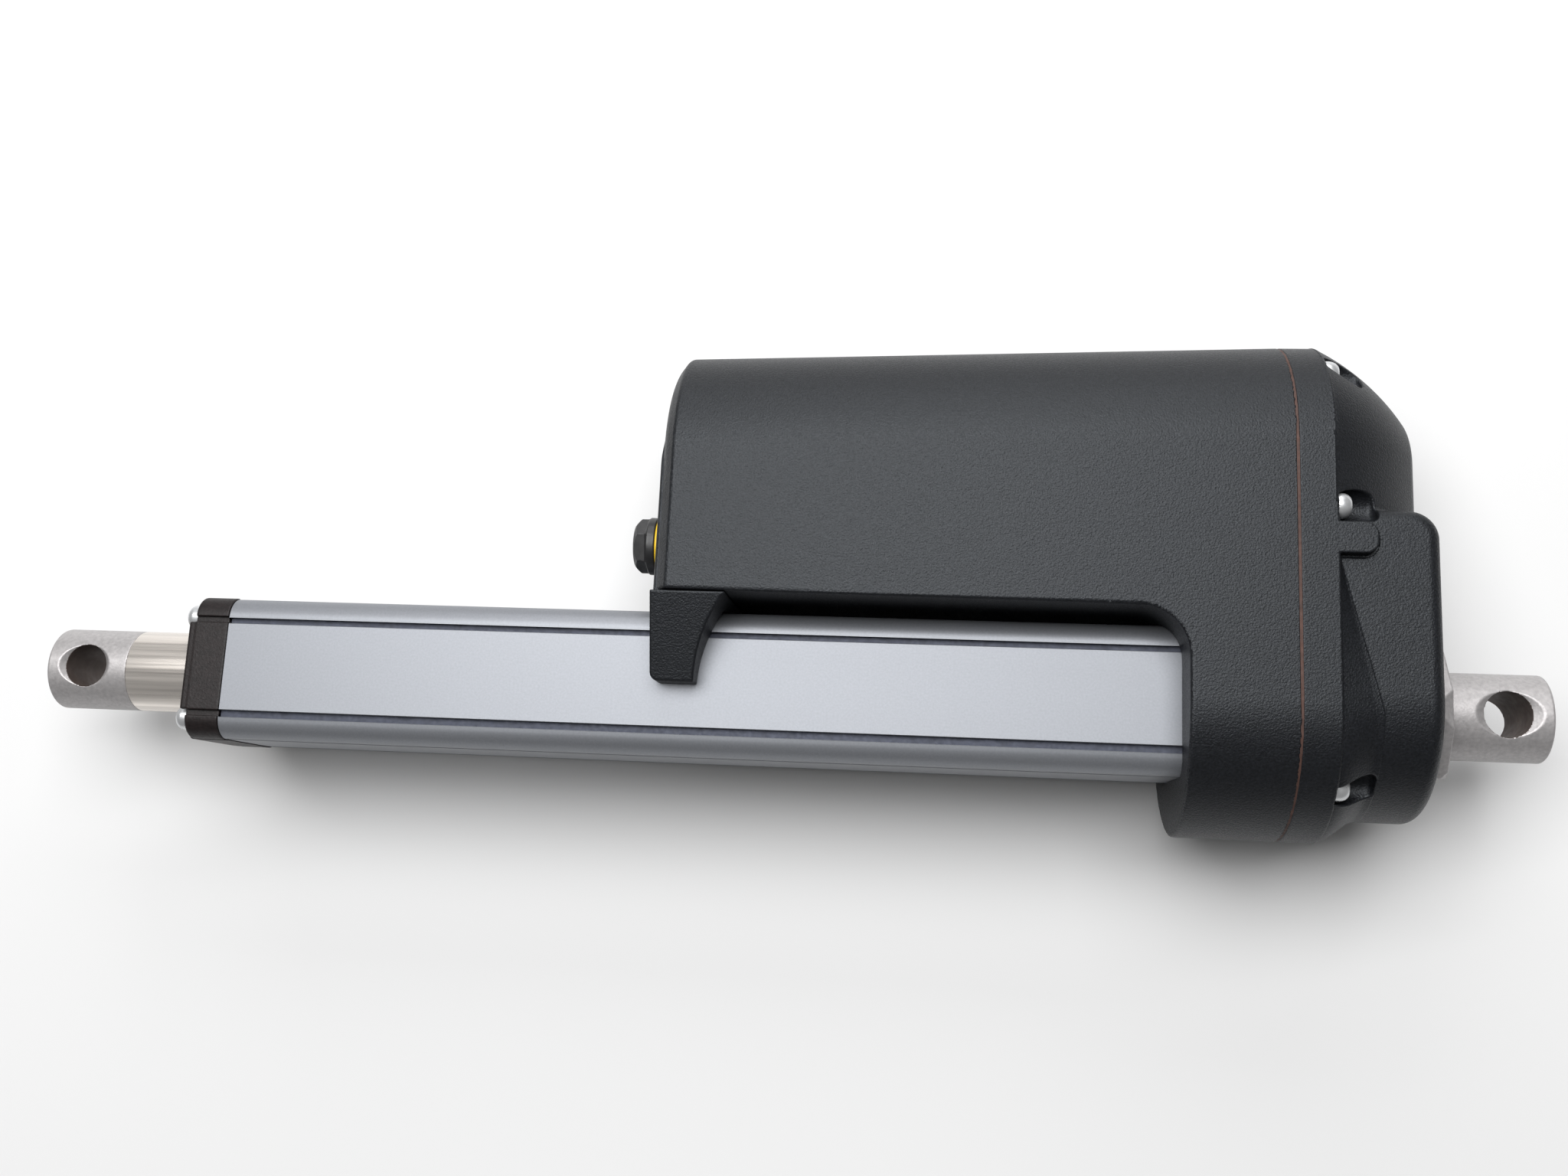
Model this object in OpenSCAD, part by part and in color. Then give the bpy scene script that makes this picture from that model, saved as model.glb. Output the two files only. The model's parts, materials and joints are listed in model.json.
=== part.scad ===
// Electric linear actuator with a parallel motor, lying on its side.
// Origin: centre of the rear pin hole. +X points to the rear, the rod extends towards -X.
// +Y points from the rod axis to the motor axis, and +Z runs along both pin holes.

/* [Stroke and pins] */
// Travel of the rod
stroke = 200; // [120:10:200]
// Distance between the pin centres that is left over beyond the stroke
dead_length = 220; // [218:1:230]
// Diameter of both pin holes
pin_d = 13; // [10:0.5:13]
// Distance from a pin centre to the flat end of its eye
eye_end = 12; // [11:0.5:14]
// Width of the countersink at each end of a pin hole
pin_chamfer = 1.7; // [0.5:0.1:2]

/* [Rod and spindle] */
// Outer diameter of the sliding rod and of both eyes
rod_d = 25; // [24:0.5:26]
// Inner diameter of the sliding rod
rod_bore_d = 19; // [19:0.5:20]
// Outer diameter of the lead screw
screw_d = 16; // [14:0.5:16]
// Diameter of the spindle and bearing journals
journal_d = 10; // [8:0.5:10]

/* [Outer tube] */
// Width across the flats of the square tube
tube_w = 42.5; // [42:0.1:43]
// Radius of the corners of the tube
tube_corner = 6.5; // [5:0.5:7]
// Diameter of the bore of the tube
tube_bore = 34; // [33:0.5:34]
// Distance of each long groove from the middle of a flat
groove_offset = 14.1; // [13:0.1:15]
// Width of the long grooves
groove_w = 2; // [1:0.1:3]
// Depth of the long grooves
groove_depth = 1.2; // [0.5:0.1:1.5]
// Distance from the front pin to the front end of the tube
tube_setback = 50; // [48:1:52]

/* [Motor case] */
// Height of the motor axis over the rod axis
motor_y = 70; // [70:1:70]
// Half width of the cast case
case_r = 36.5; // [36.5:0.5:38]
// Height of the centre of the case's round top at its front
case_top_front = 66; // [66:0.5:68]
// Height of the centre of the case's round top at its rear
case_top_rear = 71; // [71:0.5:73]
// Height of the flat underside of the motor case
case_floor = 24; // [23.5:0.5:25]
// Front face of the motor case
case_front_x = -238.5; // [-242:0.5:-238]
// Front face of the sleeve that grips the tube
sleeve_x = -90; // [-94:1:-89]
// Face where the case meets the gasket
joint_x = -61.5; // [-61.5:0.5:-61]
// Radius of the corner between case floor and sleeve
window_r = 13; // [8:1:15]

/* [Rear cover] */
// Rear face of the cover's flange
flange_x = -50.5; // [-51:0.5:-50.5]
// Rear face of the cover
cover_x = -23; // [-23:0.5:-22.5]
// Half width of the gear bulge
bulge_r = 33.5; // [33:0.5:34]
// Height of the top of the gear bulge
bulge_top = 52.5; // [51:0.5:54]
// Width across the flats of the hexagon at the rear eye
hex_af = 37; // [34:1:38]
// Thickness of the hexagon
hex_t = 6.3; // [5:0.1:7]

/* [Gears] */
// Module of every gear
gear_m = 1; // [1:1:1]
// Teeth of the motor pinion
pinion_teeth = 14; // [14:1:14]
// Teeth of the large idler gear
idler_teeth = 56; // [56:1:56]
// Teeth of the small idler pinion
idler_pinion_teeth = 21; // [21:1:21]
// Teeth of the gear on the lead screw
spindle_teeth = 49; // [49:1:49]
// Play between two meshing teeth at the pitch circle
gear_play = 0.16; // [0.1:0.01:0.3]

/* [Hidden] */

// Rod, tube and cap along X
pin_gap = stroke + dead_length;
front_pin_x = -pin_gap;
rod_r = rod_d / 2;
pin_r = pin_d / 2;
tube_front_x = front_pin_x + tube_setback;
tube_rear_x = -80;
rod_seam_x = front_pin_x + 13.8;
eye_spigot = 10;
tube_half = tube_w / 2;
screw_pos = 15.3;
cap_pad_x = tube_front_x - 10.5;
cap_collar_x = cap_pad_x - 1.8;
cap_spigot_x = tube_front_x + 9;
cap_grow = 0.25;
cap_screw_r = 2;
running = 0.06;
slip = 0.02;

// Drive nut at the rear end of the rod
nut_rear_x = -102;
nut_front_x = -130;
rod_rear_x = -112;
screw_front_x = nut_front_x - stroke - 10;

// Gearbox along X
plate_front_x = -72;
plate_rear_x = -66;
bearing_wall_x = -77;
bearing_w = 9;
bearing_r = 15;
gear_a_x = -64.5;
gear_b_x = -53;
gear_a_w = 10;
gear_b_w = 12;
gear_step_x = gear_b_x - 0.5;
cover_floor_x = -38;
rear_bearing_x = -37.5;
idler_y = gear_m * (idler_pinion_teeth + spindle_teeth) / 2;
cavity_r = 29.6;
axle_r = 4;

// Screws of the cover: height over the rod axis and distance from the middle plane
cover_screw_spots = [[94, 22.5], [53, 32.4], [-23, 23.5]];
cover_screw_r = 2;
cover_head_r = 3.75;
cover_head_h = 4.2;
cover_screw_length = 22;

// Motor along X
can_front_x = -212;
can_rear_x = -79;
can_r = 29;
can_bore_r = 26.2;
motor_bearing_w = 7;
motor_bearing_r = 11;
shaft_r = 4;
shaft_end_r = 3;
core_front_x = -195;
core_rear_x = -130;
magnet_r = 22;
case_floor_in = 27;
case_front_in = -234.5;
sleeve_top = 45;

// Sockets in the front plate
socket_y = 40.5;
socket_z = 17;
plate_face_x = case_front_x - 0.7;
plate_back_x = plate_face_x + 3.2;
arch_y = 52;
arch_r = 32;
foot_bottom = -0.8;
foot_out_top = case_r;
foot_out_low = 28.5;

// Points of an arc around [u, v] from angle a0 to angle a1
function arc(u, v, r, a0, a1, n = 12) =
    [for (i = [0:n]) let (a = a0 + (a1 - a0) * i / n) [u + r * cos(a), v + r * sin(a)]];

// Square with round corners, h is half its width
function square_points(h, r) = concat(
    arc(h - r, h - r, r, 0, 90), arc(r - h, h - r, r, 90, 180),
    arc(r - h, r - h, r, 180, 270), arc(h - r, r - h, r, 270, 360));

// Long round outline between two heights
function stadium_points(r, y0, y1, n = 24) = concat(arc(y1, 0, r, -90, 90, n), arc(y0, 0, r, 90, 270, n));

// Round top over a flat floor
function tunnel_points(r, y1, y0, n = 24) = concat(arc(y1, 0, r, -90, 90, n), [[y0, r], [y0, -r]]);

// Height of the centre of the case's round top at x
function case_top(x) = case_top_front
    + (case_top_rear - case_top_front) * (x - case_front_x) / (joint_x - case_front_x);

// Radius of the domed rear cover at x: one arc from the flange to the rear face
dome_start_r = 36.2;
dome_end_r = 12;
dome_arc_r = 72;
dome_chord = norm([cover_x - flange_x, dome_end_r - dome_start_r]);
dome_dir = [cover_x - flange_x, dome_end_r - dome_start_r] / dome_chord;
dome_mid = [(flange_x + cover_x) / 2, (dome_start_r + dome_end_r) / 2];
dome_centre = dome_mid + sqrt(pow(dome_arc_r, 2) - pow(dome_chord / 2, 2)) * [dome_dir[1], -dome_dir[0]];
function dome_r(x) = dome_centre[1] + sqrt(pow(dome_arc_r, 2) - pow(x - dome_centre[0], 2));

// Involute gears: half the angle of a tooth at radius r
pressure = 20;
addendum = 0.8;
dedendum = 1.05;
function roll(r, base) = r <= base ? 0 : tan(acos(base / r)) * 180 / PI - acos(base / r);
function tooth_half(r, teeth) =
    let (pitch = gear_m * teeth / 2, base = pitch * cos(pressure))
    90 / teeth - gear_play / 4 / pitch * 180 / PI + roll(pitch, base) - roll(r, base);
function gear_points(teeth, phase) =
    let (pitch = gear_m * teeth / 2, tip = pitch + addendum * gear_m, root = pitch - dedendum * gear_m)
    let (flank = [root, (root + pitch) / 2, pitch, (pitch + tip) / 2, tip])
    [for (t = [0:teeth - 1], i = [0:9])
        let (rising = i < 5, r = rising ? flank[i] : flank[9 - i])
        let (a = phase + 360 / teeth * t + (rising ? -1 : 1) * tooth_half(r, teeth))
        r * [cos(a), sin(a)]];

// Extrudes an outline drawn in [y, z] from x0 to x1
module along_x(x0, x1) {
    translate([x0, 0, 0]) rotate([90, 0, 90]) linear_extrude(x1 - x0) children();
}

// Round bar along X
module bar(x0, x1, r, y = 0, z = 0) {
    translate([x0, y, z]) rotate([0, 90, 0]) cylinder(h = x1 - x0, r = r, $fn = 64);
}

// Ring along X
module ring(x0, x1, outer, inner, y = 0, z = 0) {
    difference() {
        bar(x0, x1, outer, y, z);
        bar(x0 - 1, x1 + 1, inner, y, z);
    }
}

// Block from one corner to the other
module block(low, high) {
    translate(low) cube(high - low);
}

// Thin slice of an outline at x, for hulls
module slice(x, points) {
    along_x(x, x + 0.01) polygon(points);
}

// Pin hole through an eye at x, with a countersink at both ends
module pin_hole(x) {
    cone_z = sqrt(pow(rod_r, 2) - pow(pin_r, 2)) + 0.15;
    cone_h = 2 * pin_chamfer;
    translate([x, 0, -rod_r - 1]) cylinder(h = 2 * rod_r + 2, r = pin_r, $fn = 64);
    for (side = [0, 180]) rotate([side, 0, 0]) translate([x, 0, cone_z - 1])
        cylinder(h = cone_h + 1, r1 = pin_r - 1, r2 = pin_r + cone_h, $fn = 64);
}

// Places its children at the four corner screws of the tube
module at_corners() {
    for (y = [-1, 1], z = [-1, 1]) translate([0, y * screw_pos, z * screw_pos]) children();
}

// Places its children at the six cover screws
module at_cover_screws() {
    for (spot = cover_screw_spots, side = [-1, 1]) translate([0, spot[0], side * spot[1]]) children();
}

// Long grooves on the four flats of the tube and the cap
module grooves(x0, x1, half) {
    for (turn = [0, 90, 180, 270], side = [-1, 1]) rotate([turn, 0, 0])
        block([x0, side * groove_offset - groove_w / 2, half - groove_depth],
              [x1, side * groove_offset + groove_w / 2, half + 1]);
}

// Outer shape of the motor part of the case, with a rounded front edge
module case_body() {
    hull() {
        slice(case_front_x, tunnel_points(case_r - 7, case_top(case_front_x), case_floor));
        slice(case_front_x + 2, tunnel_points(case_r - 2.6, case_top(case_front_x), case_floor));
        slice(case_front_x + 7, tunnel_points(case_r, case_top(case_front_x), case_floor));
        slice(joint_x - 0.01, tunnel_points(case_r, case_top_rear, case_floor));
    }
}

// Outer shape of the sleeve round the tube, up to the gasket
module case_sleeve() {
    along_x(sleeve_x, joint_x) polygon(concat(
        arc(-1, 0, case_r, 90, 270, 24), [[sleeve_top, -case_r], [sleeve_top, case_r]]));
}

// Solid corner between the case floor and the sleeve, in the middle of the window
module window_corner() {
    difference() {
        block([sleeve_x - window_r, case_floor - window_r, -case_r],
              [sleeve_x + 1, case_floor + 1, case_r]);
        translate([sleeve_x - window_r, case_floor - window_r, -case_r - 1])
            cylinder(h = 2 * case_r + 2, r = window_r, $fn = 64);
        block([sleeve_x - window_r - 1, case_floor - window_r - 1, -tube_half - 0.5],
              [sleeve_x, tube_half + 0.5, tube_half + 0.5]);
    }
}

// Arched outline of the front plate
module arch(grow) {
    polygon(tunnel_points(arch_r + grow, arch_y, case_floor - 1));
}

// Die-cast case that holds the motor and grips the tube
module motor_housing() {
    color([0.16, 0.16, 0.18]) difference() {
        union() {
            case_body();
            case_sleeve();
            window_corner();
        }
        along_x(case_front_in, joint_x + 1) polygon(tunnel_points(cavity_r, motor_y, case_floor_in));
        along_x(plate_front_x, joint_x + 1) polygon(stadium_points(cavity_r, 0, motor_y));
        bar(tube_rear_x - 0.5, plate_front_x + 1, 21);
        along_x(sleeve_x - 1, tube_rear_x) polygon(square_points(tube_half + 0.05, tube_corner));
        along_x(case_front_x - 2, plate_back_x) arch(0.1);
        for (side = [-1, 1]) bar(case_front_x - 1, case_front_in + 1, 8, socket_y, side * socket_z);
        at_cover_screws() bar(joint_x - 15, joint_x + 1, cover_screw_r + slip);
        at_plate_screws() bar(plate_front_x - 7.5, plate_front_x + 1, plate_screw_r + slip);
        at_bracket_screws() bar(plate_back_x - 1, case_front_in + 1, bracket_screw_r + slip);
    }
}

// Thin seal between case and cover
module housing_gasket() {
    color([0.33, 0.12, 0.08]) difference() {
        along_x(joint_x, joint_x + 1) polygon(stadium_points(case_r - 0.15, -1, case_top_rear));
        along_x(joint_x - 1, joint_x + 2) polygon(stadium_points(cavity_r + 0.2, 0, motor_y));
        at_cover_screws() bar(joint_x - 1, joint_x + 2, cover_screw_r + 0.2);
    }
}

// Skirt that slopes from the flange down to the gear bulge
skirt_x = -39.6;
skirt_top = 38;
skirt_inset = 0.3;
module skirt() {
    flange_side = case_r - skirt_inset;
    hull() {
        slice(flange_x - 1, concat(
            arc(-1, 0, flange_side, 90, 270, 24), [[skirt_top, -flange_side], [skirt_top, flange_side]]));
        slice(skirt_x, arc(bulge_low, 0, bulge_r - skirt_inset, 100, 260, 20));
    }
}

// Gear bulge with rounded rear edges
bulge_low = 2.5;
function bulge_points(inset) = concat(
    [[bulge_top - inset, bulge_r - 6], [bulge_top - 6, bulge_r - inset]],
    arc(bulge_low, 0, bulge_r - inset, 90, 270, 24),
    [[bulge_top - 6, inset - bulge_r], [bulge_top - inset, 6 - bulge_r]]);
module bulge() {
    hull() {
        slice(flange_x - 1, bulge_points(0));
        slice(cover_x - 5, bulge_points(0));
        slice(cover_x - 1.5, bulge_points(1.5));
        slice(cover_x - 0.01, bulge_points(5));
    }
}

// Dome behind the motor
dome_low = 56;
module dome() {
    hull() for (i = [0:5]) {
        x = flange_x + (cover_x - flange_x) * i / 5 - 0.01;
        slice(x, stadium_points(dome_r(x + 0.01), dome_low, case_top_rear));
    }
}

// Rounded tab on each side of the cover
tab_low = 39;
tab_high = 47.6;
tab_end_x = -39.6;
tab_round = 3.6;
module tab() {
    translate([0, 0, bulge_r - 3]) linear_extrude(case_r - bulge_r + 3) polygon(concat(
        [[flange_x - 1, tab_high], [flange_x - 1, tab_low]],
        arc(tab_end_x - tab_round, tab_low + tab_round, tab_round, -90, 0, 8),
        arc(tab_end_x - tab_round, tab_high - tab_round, tab_round, 0, 90, 8)));
}

// Cast rear cover: gearbox lid and seat of the rear eye
channel_depth = 11;
spindle_room_r = 26.4;
idler_room_r = 13;
motor_room_r = 18;
motor_room_x = -36;
module rear_cover() {
    color([0.17, 0.16, 0.18]) difference() {
        union() {
            along_x(joint_x + 1, flange_x) polygon(stadium_points(case_r, -1, case_top_rear));
            skirt();
            bulge();
            dome();
            for (side = [0, 1]) mirror([0, 0, side]) tab();
        }
        at_cover_screws() bar(flange_x, flange_x + channel_depth, cover_head_r + 0.65);
        at_cover_screws() bar(joint_x, flange_x + 1, cover_screw_r + 0.3);
        along_x(joint_x, gear_step_x) polygon(stadium_points(cavity_r, 0, motor_y));
        bar(gear_step_x - 1, cover_floor_x, spindle_room_r);
        along_x(gear_step_x - 1, cover_floor_x) polygon(stadium_points(idler_room_r, 0, idler_y));
        bar(gear_step_x - 1, motor_room_x, motor_room_r, motor_y);
        bar(cover_floor_x - 1, rear_bearing_x + bearing_w, bearing_r + slip);
        bar(cover_floor_x - 1, cover_floor_x + 8, axle_r + slip, idler_y);
        bar(rear_bearing_x, cover_x + 1, 12.5);
    }
}

// Pan-head screw along X: the head points to the rear
module pan_screw(x, head_r, head_h, shank_r, length) {
    rim = head_h * 0.45;
    dome = [for (i = [0:5]) let (a = 90 * i / 6) [head_r * cos(a), rim + (head_h - rim) * sin(a)]];
    bar(x - length, x, shank_r);
    translate([x, 0, 0]) rotate([0, 90, 0])
        rotate_extrude($fn = 64) polygon(concat([[0, 0], [head_r, 0]], dome, [[0, head_h]]));
}

// Six screws that hold the cover
module cover_screws() {
    color([0.86, 0.87, 0.88]) at_cover_screws()
        pan_screw(flange_x, cover_head_r, cover_head_h, cover_screw_r, cover_screw_length);
}

// Rear eye with its hexagon
module rear_mount() {
    color([0.52, 0.53, 0.55]) difference() {
        union() {
            bar(cover_x + hex_t - 1, eye_end, rod_r);
            along_x(cover_x, cover_x + hex_t) rotate(30) circle(r = hex_af / sqrt(3), $fn = 6);
            bar(rear_bearing_x + bearing_w, cover_x + 1, 12.45);
        }
        pin_hole(0);
    }
}

// Square aluminium tube with screw ports in its corners
module outer_tube() {
    color([0.72, 0.74, 0.79]) difference() {
        along_x(tube_front_x, tube_rear_x) polygon(square_points(tube_half, tube_corner));
        bar(tube_front_x - 1, tube_rear_x + 1, tube_bore / 2);
        at_corners() bar(tube_front_x - 1, tube_rear_x + 1, cap_screw_r + slip);
        grooves(tube_front_x - 1, tube_rear_x + 1, tube_half);
    }
}

// Front cap: its middle is raised in a cross between the four corner screws
wiper_r = 16.5;
bush_r = 15;
collar_half = 13.2;
module front_cap() {
    half = tube_half + cap_grow;
    color([0.16, 0.14, 0.14]) difference() {
        union() {
            along_x(cap_pad_x, tube_front_x) polygon(square_points(half, tube_corner));
            block([cap_collar_x, -collar_half, -half], [cap_pad_x + 1, collar_half, half]);
            block([cap_collar_x, -half, -collar_half], [cap_pad_x + 1, half, collar_half]);
            bar(tube_front_x - 1, cap_spigot_x, tube_bore / 2 - 0.05);
        }
        grooves(cap_collar_x - 1, tube_front_x, half);
        bar(cap_collar_x - 1, cap_spigot_x + 1, rod_r + 0.4);
        bar(cap_collar_x - 1, cap_collar_x + 4.5, wiper_r);
        bar(cap_collar_x + 6, cap_spigot_x + 1, bush_r);
        at_corners() bar(cap_collar_x - 3, cap_pad_x, cap_head_r + 0.4);
        at_corners() bar(cap_pad_x - 1, tube_front_x + 1, cap_screw_r + 0.2);
    }
}

// Four dome-head screws of the front cap
cap_head_r = 4.1;
cap_head_h = 4.8;
cap_screw_length = 24;
module cap_screws() {
    color([0.88, 0.88, 0.86]) at_corners() translate([cap_pad_x, 0, 0]) rotate([0, 180, 0])
        pan_screw(0, cap_head_r, cap_head_h, cap_screw_r, cap_screw_length);
}

// Lip seal that wipes the rod
module wiper_seal() {
    color([0.08, 0.08, 0.08]) ring(cap_collar_x + 0.2, cap_collar_x + 4.4, wiper_r - slip, rod_r + running);
}

// Plain bush that guides the rod
module guide_bush() {
    color([0.85, 0.82, 0.72]) ring(cap_collar_x + 6, cap_spigot_x, bush_r - slip, rod_r + running);
}

// Places its children at the screws of the front plate
bracket_screw_r = 1.5;
module at_bracket_screws() {
    for (spot = [[76, 0], [60, 24], [60, -24]]) translate([0, spot[0], spot[1]]) children();
}

// Outline of the foot seen from the side, with a hollow rear edge
foot_x0 = plate_face_x + 0.4;
foot_x1 = foot_x0 + 12.6;
foot_x2 = foot_x0 + 22;
foot_arc_r = 42;
function foot_points() =
    let (low = [foot_x1, foot_bottom], high = [foot_x2, case_floor - slip], d = norm(high - low))
    let (mid = (low + high) / 2, u = (high - low) / d, h = sqrt(pow(foot_arc_r, 2) - pow(d / 2, 2)))
    let (c = mid + h * [u[1], -u[0]], a0 = atan2(low[1] - c[1], low[0] - c[0]))
    let (a1 = atan2(high[1] - c[1], high[0] - c[0]))
    concat(arc(c[0], c[1], foot_arc_r, a0 < 0 ? a0 + 360 : a0, a1, 8),
        [[foot_x0, case_floor - slip]], arc(foot_x0 + 2.5, foot_bottom + 2.5, 2.5, 180, 270, 6));

// Front plate with a forked foot that holds the case on the tube
module front_bracket() {
    inner = tube_half + 0.05;
    color([0.13, 0.13, 0.14]) difference() {
        union() {
            intersection() {
                along_x(plate_face_x - 1, plate_back_x) arch(0);
                translate([plate_face_x - case_front_x, 0, 0]) case_body();
            }
            difference() {
                intersection() {
                    translate([0, 0, -case_r]) linear_extrude(2 * case_r) polygon(foot_points());
                    along_x(foot_x0 - 1, foot_x2 + 1) polygon([
                        [case_floor - slip, foot_out_top], [foot_bottom, foot_out_low],
                        [foot_bottom, -foot_out_low], [case_floor - slip, -foot_out_top]]);
                }
                block([foot_x0 - 1, foot_bottom - 1, -inner], [foot_x2 + 1, inner, inner]);
            }
            block([plate_face_x + 0.5, case_floor - 2, -20], [plate_back_x, case_floor + 2, 20]);
        }
        for (side = [-1, 1]) bar(plate_face_x - 1, plate_back_x + 1, 5.1, socket_y, side * socket_z);
        at_bracket_screws() bar(plate_face_x - 1, plate_back_x + 1, bracket_screw_r + 0.1);
        at_bracket_screws() bar(plate_face_x - 1, plate_face_x + 1.5, 3);
    }
}

// Three flush screws of the front plate
module bracket_screws() {
    color([0.1, 0.1, 0.11]) at_bracket_screws() {
        bar(plate_face_x + 0.1, plate_face_x + 1.5, 2.9);
        bar(plate_face_x + 1, case_front_in - 0.2, bracket_screw_r);
    }
}

// Hexagon plug that closes the unused socket
module blanking_plug() {
    color([0.1, 0.1, 0.1]) {
        bar(plate_face_x - 1.4, plate_face_x + 9, 5, socket_y, socket_z);
        bar(plate_face_x - 3.7, plate_face_x - 1.4, 8.5, socket_y, socket_z);
        translate([0, socket_y, socket_z]) along_x(plate_face_x - 9.5, plate_face_x - 3.6)
            rotate(15) circle(r = 7 / cos(30), $fn = 6);
    }
}

// Soft ring under the plug
module plug_seal_ring() {
    color([0.95, 0.75, 0.05]) ring(plate_face_x - 1.4, plate_face_x, 7.6, 5.05, socket_y, socket_z);
}

// Four-pin socket for the supply lead
module power_inlet() {
    color([0.1, 0.1, 0.1]) difference() {
        union() {
            bar(plate_face_x - 1.4, plate_face_x + 9, 5, socket_y, -socket_z);
            bar(plate_face_x - 3, plate_face_x - 1.4, 8.5, socket_y, -socket_z);
            bar(plate_face_x - 8.5, plate_face_x - 2.9, 7, socket_y, -socket_z);
        }
        ring(plate_face_x - 9, plate_face_x - 3.2, 5.6, 3.4, socket_y, -socket_z);
        for (a = [45:90:315]) bar(plate_face_x - 9, plate_face_x - 4, 0.7,
            socket_y + 2.1 * cos(a), -socket_z + 2.1 * sin(a));
    }
}

// Soft ring under the socket
module inlet_seal_ring() {
    color([0.95, 0.75, 0.05]) ring(plate_face_x - 1.4, plate_face_x, 7.6, 5.05, socket_y, -socket_z);
}

// Control board with its large parts, in front of the motor
board_x = -229;
board_t = 1.6;
board_half = 24;
board_low = 50;
board_high = 84;
module circuit_board() {
    color([0.1, 0.4, 0.2]) {
        block([board_x, board_low, -board_half], [board_x + board_t, board_high, board_half]);
        block([board_x - 3, 72, -14], [board_x, 84, -2]);
        block([board_x + board_t, 56, 10], [board_x + board_t + 4, 64, 20]);
        bar(board_x - 4, board_x, 4, 62, 14);
    }
}

// Plate that carries the gear shafts and the motor
plate_screw_r = 1.5;
module at_plate_screws() {
    for (a = [90:60:270]) translate([0, 24.8 * cos(a), 24.8 * sin(a)]) children();
}
module at_motor_screws() {
    for (a = [-100, 0, 100]) translate([0, motor_y + 20 * cos(a), 20 * sin(a)]) children();
}
module gear_plate() {
    color([0.62, 0.63, 0.66]) difference() {
        union() {
            along_x(plate_front_x, plate_rear_x) polygon(stadium_points(cavity_r - 0.1, 0, motor_y));
            bar(tube_rear_x, plate_front_x + 1, 20.8);
        }
        bar(bearing_wall_x, plate_rear_x + 1, bearing_r + slip);
        bar(tube_rear_x - 1, bearing_wall_x + 1, 9);
        bar(plate_front_x - 1, plate_rear_x + 1, 8, motor_y);
        bar(plate_front_x - 1, plate_rear_x + 1, axle_r + slip, idler_y);
        at_plate_screws() bar(plate_front_x - 1, plate_rear_x + 1, plate_screw_r + 0.1);
        at_motor_screws() bar(plate_front_x - 1, plate_rear_x + 1, 2.1);
    }
}

// Four screws that hold the gear plate in the case
module gear_plate_screws() {
    color([0.75, 0.76, 0.78]) at_plate_screws() pan_screw(plate_rear_x, 2.8, 1.8, plate_screw_r, 13);
}

// Three screws that hold the motor to the gear plate
module motor_screws() {
    color([0.75, 0.76, 0.78]) at_motor_screws() pan_screw(plate_rear_x, 3.4, 2.2, 2, 12);
}

// Ball bearing drawn as one ring with its shield grooves
module bearing(x, w, outer, inner, y) {
    difference() {
        ring(x, x + w, outer, inner, y);
        for (side = [0, 1]) translate([side * (w - 0.5), 0, 0])
            ring(x, x + 0.5, outer * 0.82, inner + outer * 0.1, y);
    }
}
module spindle_front_bearing() {
    color([0.7, 0.71, 0.73]) bearing(bearing_wall_x, bearing_w, bearing_r, journal_d / 2 + slip, 0);
}
module spindle_rear_bearing() {
    color([0.7, 0.71, 0.73]) bearing(rear_bearing_x, bearing_w, bearing_r, journal_d / 2 + slip, 0);
}

// Fixed pin on which the idler turns
module idler_axle() {
    color([0.6, 0.61, 0.63]) bar(plate_front_x + 0.5, cover_floor_x + 7.5, axle_r, idler_y);
}

// Steel body of the motor
module motor_can() {
    color([0.5, 0.51, 0.53]) ring(can_front_x, can_rear_x, can_r, can_bore_r, motor_y);
}

// Two curved magnets inside the motor body
module motor_magnets() {
    color([0.25, 0.25, 0.27]) for (side = [0, 180]) translate([0, motor_y, 0]) rotate([side, 0, 0])
        along_x(core_front_x - 3, core_rear_x + 3)
            polygon(concat(arc(0, 0, can_bore_r - 0.1, 30, 150), arc(0, 0, magnet_r, 150, 30)));
}

// End plates of the motor, each with a bearing seat
module motor_front_plate() {
    color([0.6, 0.61, 0.63])
        ring(can_front_x - motor_bearing_w, can_front_x, can_r - 0.2, motor_bearing_r + slip, motor_y);
}
module motor_rear_plate() {
    color([0.6, 0.61, 0.63]) difference() {
        ring(can_rear_x, plate_front_x, can_r - 0.2, motor_bearing_r + slip, motor_y);
        at_motor_screws() bar(plate_front_x - 6.5, plate_front_x + 1, 2 + slip);
    }
}
module motor_bearings() {
    color([0.7, 0.71, 0.73]) for (x = [can_front_x - motor_bearing_w, can_rear_x])
        bearing(x, motor_bearing_w, motor_bearing_r, shaft_r + slip, motor_y);
}

// Brush gear
holder_x = -97;
brush_x = -112;
module brush_holder() {
    color([0.35, 0.2, 0.12]) difference() {
        union() {
            ring(holder_x, holder_x + 4, can_bore_r - 0.2, 12, motor_y);
            for (side = [-1, 1]) translate([0, motor_y, side * 17])
                block([brush_x - 1, -6, -5.5], [holder_x + 1, 6, 5.5]);
        }
        for (side = [-1, 1]) translate([0, motor_y, side * 17])
            block([brush_x, -3.6, -6], [brush_x + 8, 3.6, 6]);
    }
}
module brushes() {
    color([0.2, 0.2, 0.2]) for (side = [-1, 1]) translate([0, motor_y, side * 16])
        block([brush_x + 0.1, -3.5, -5.7], [brush_x + 7.9, 3.5, 5.7]);
}

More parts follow.
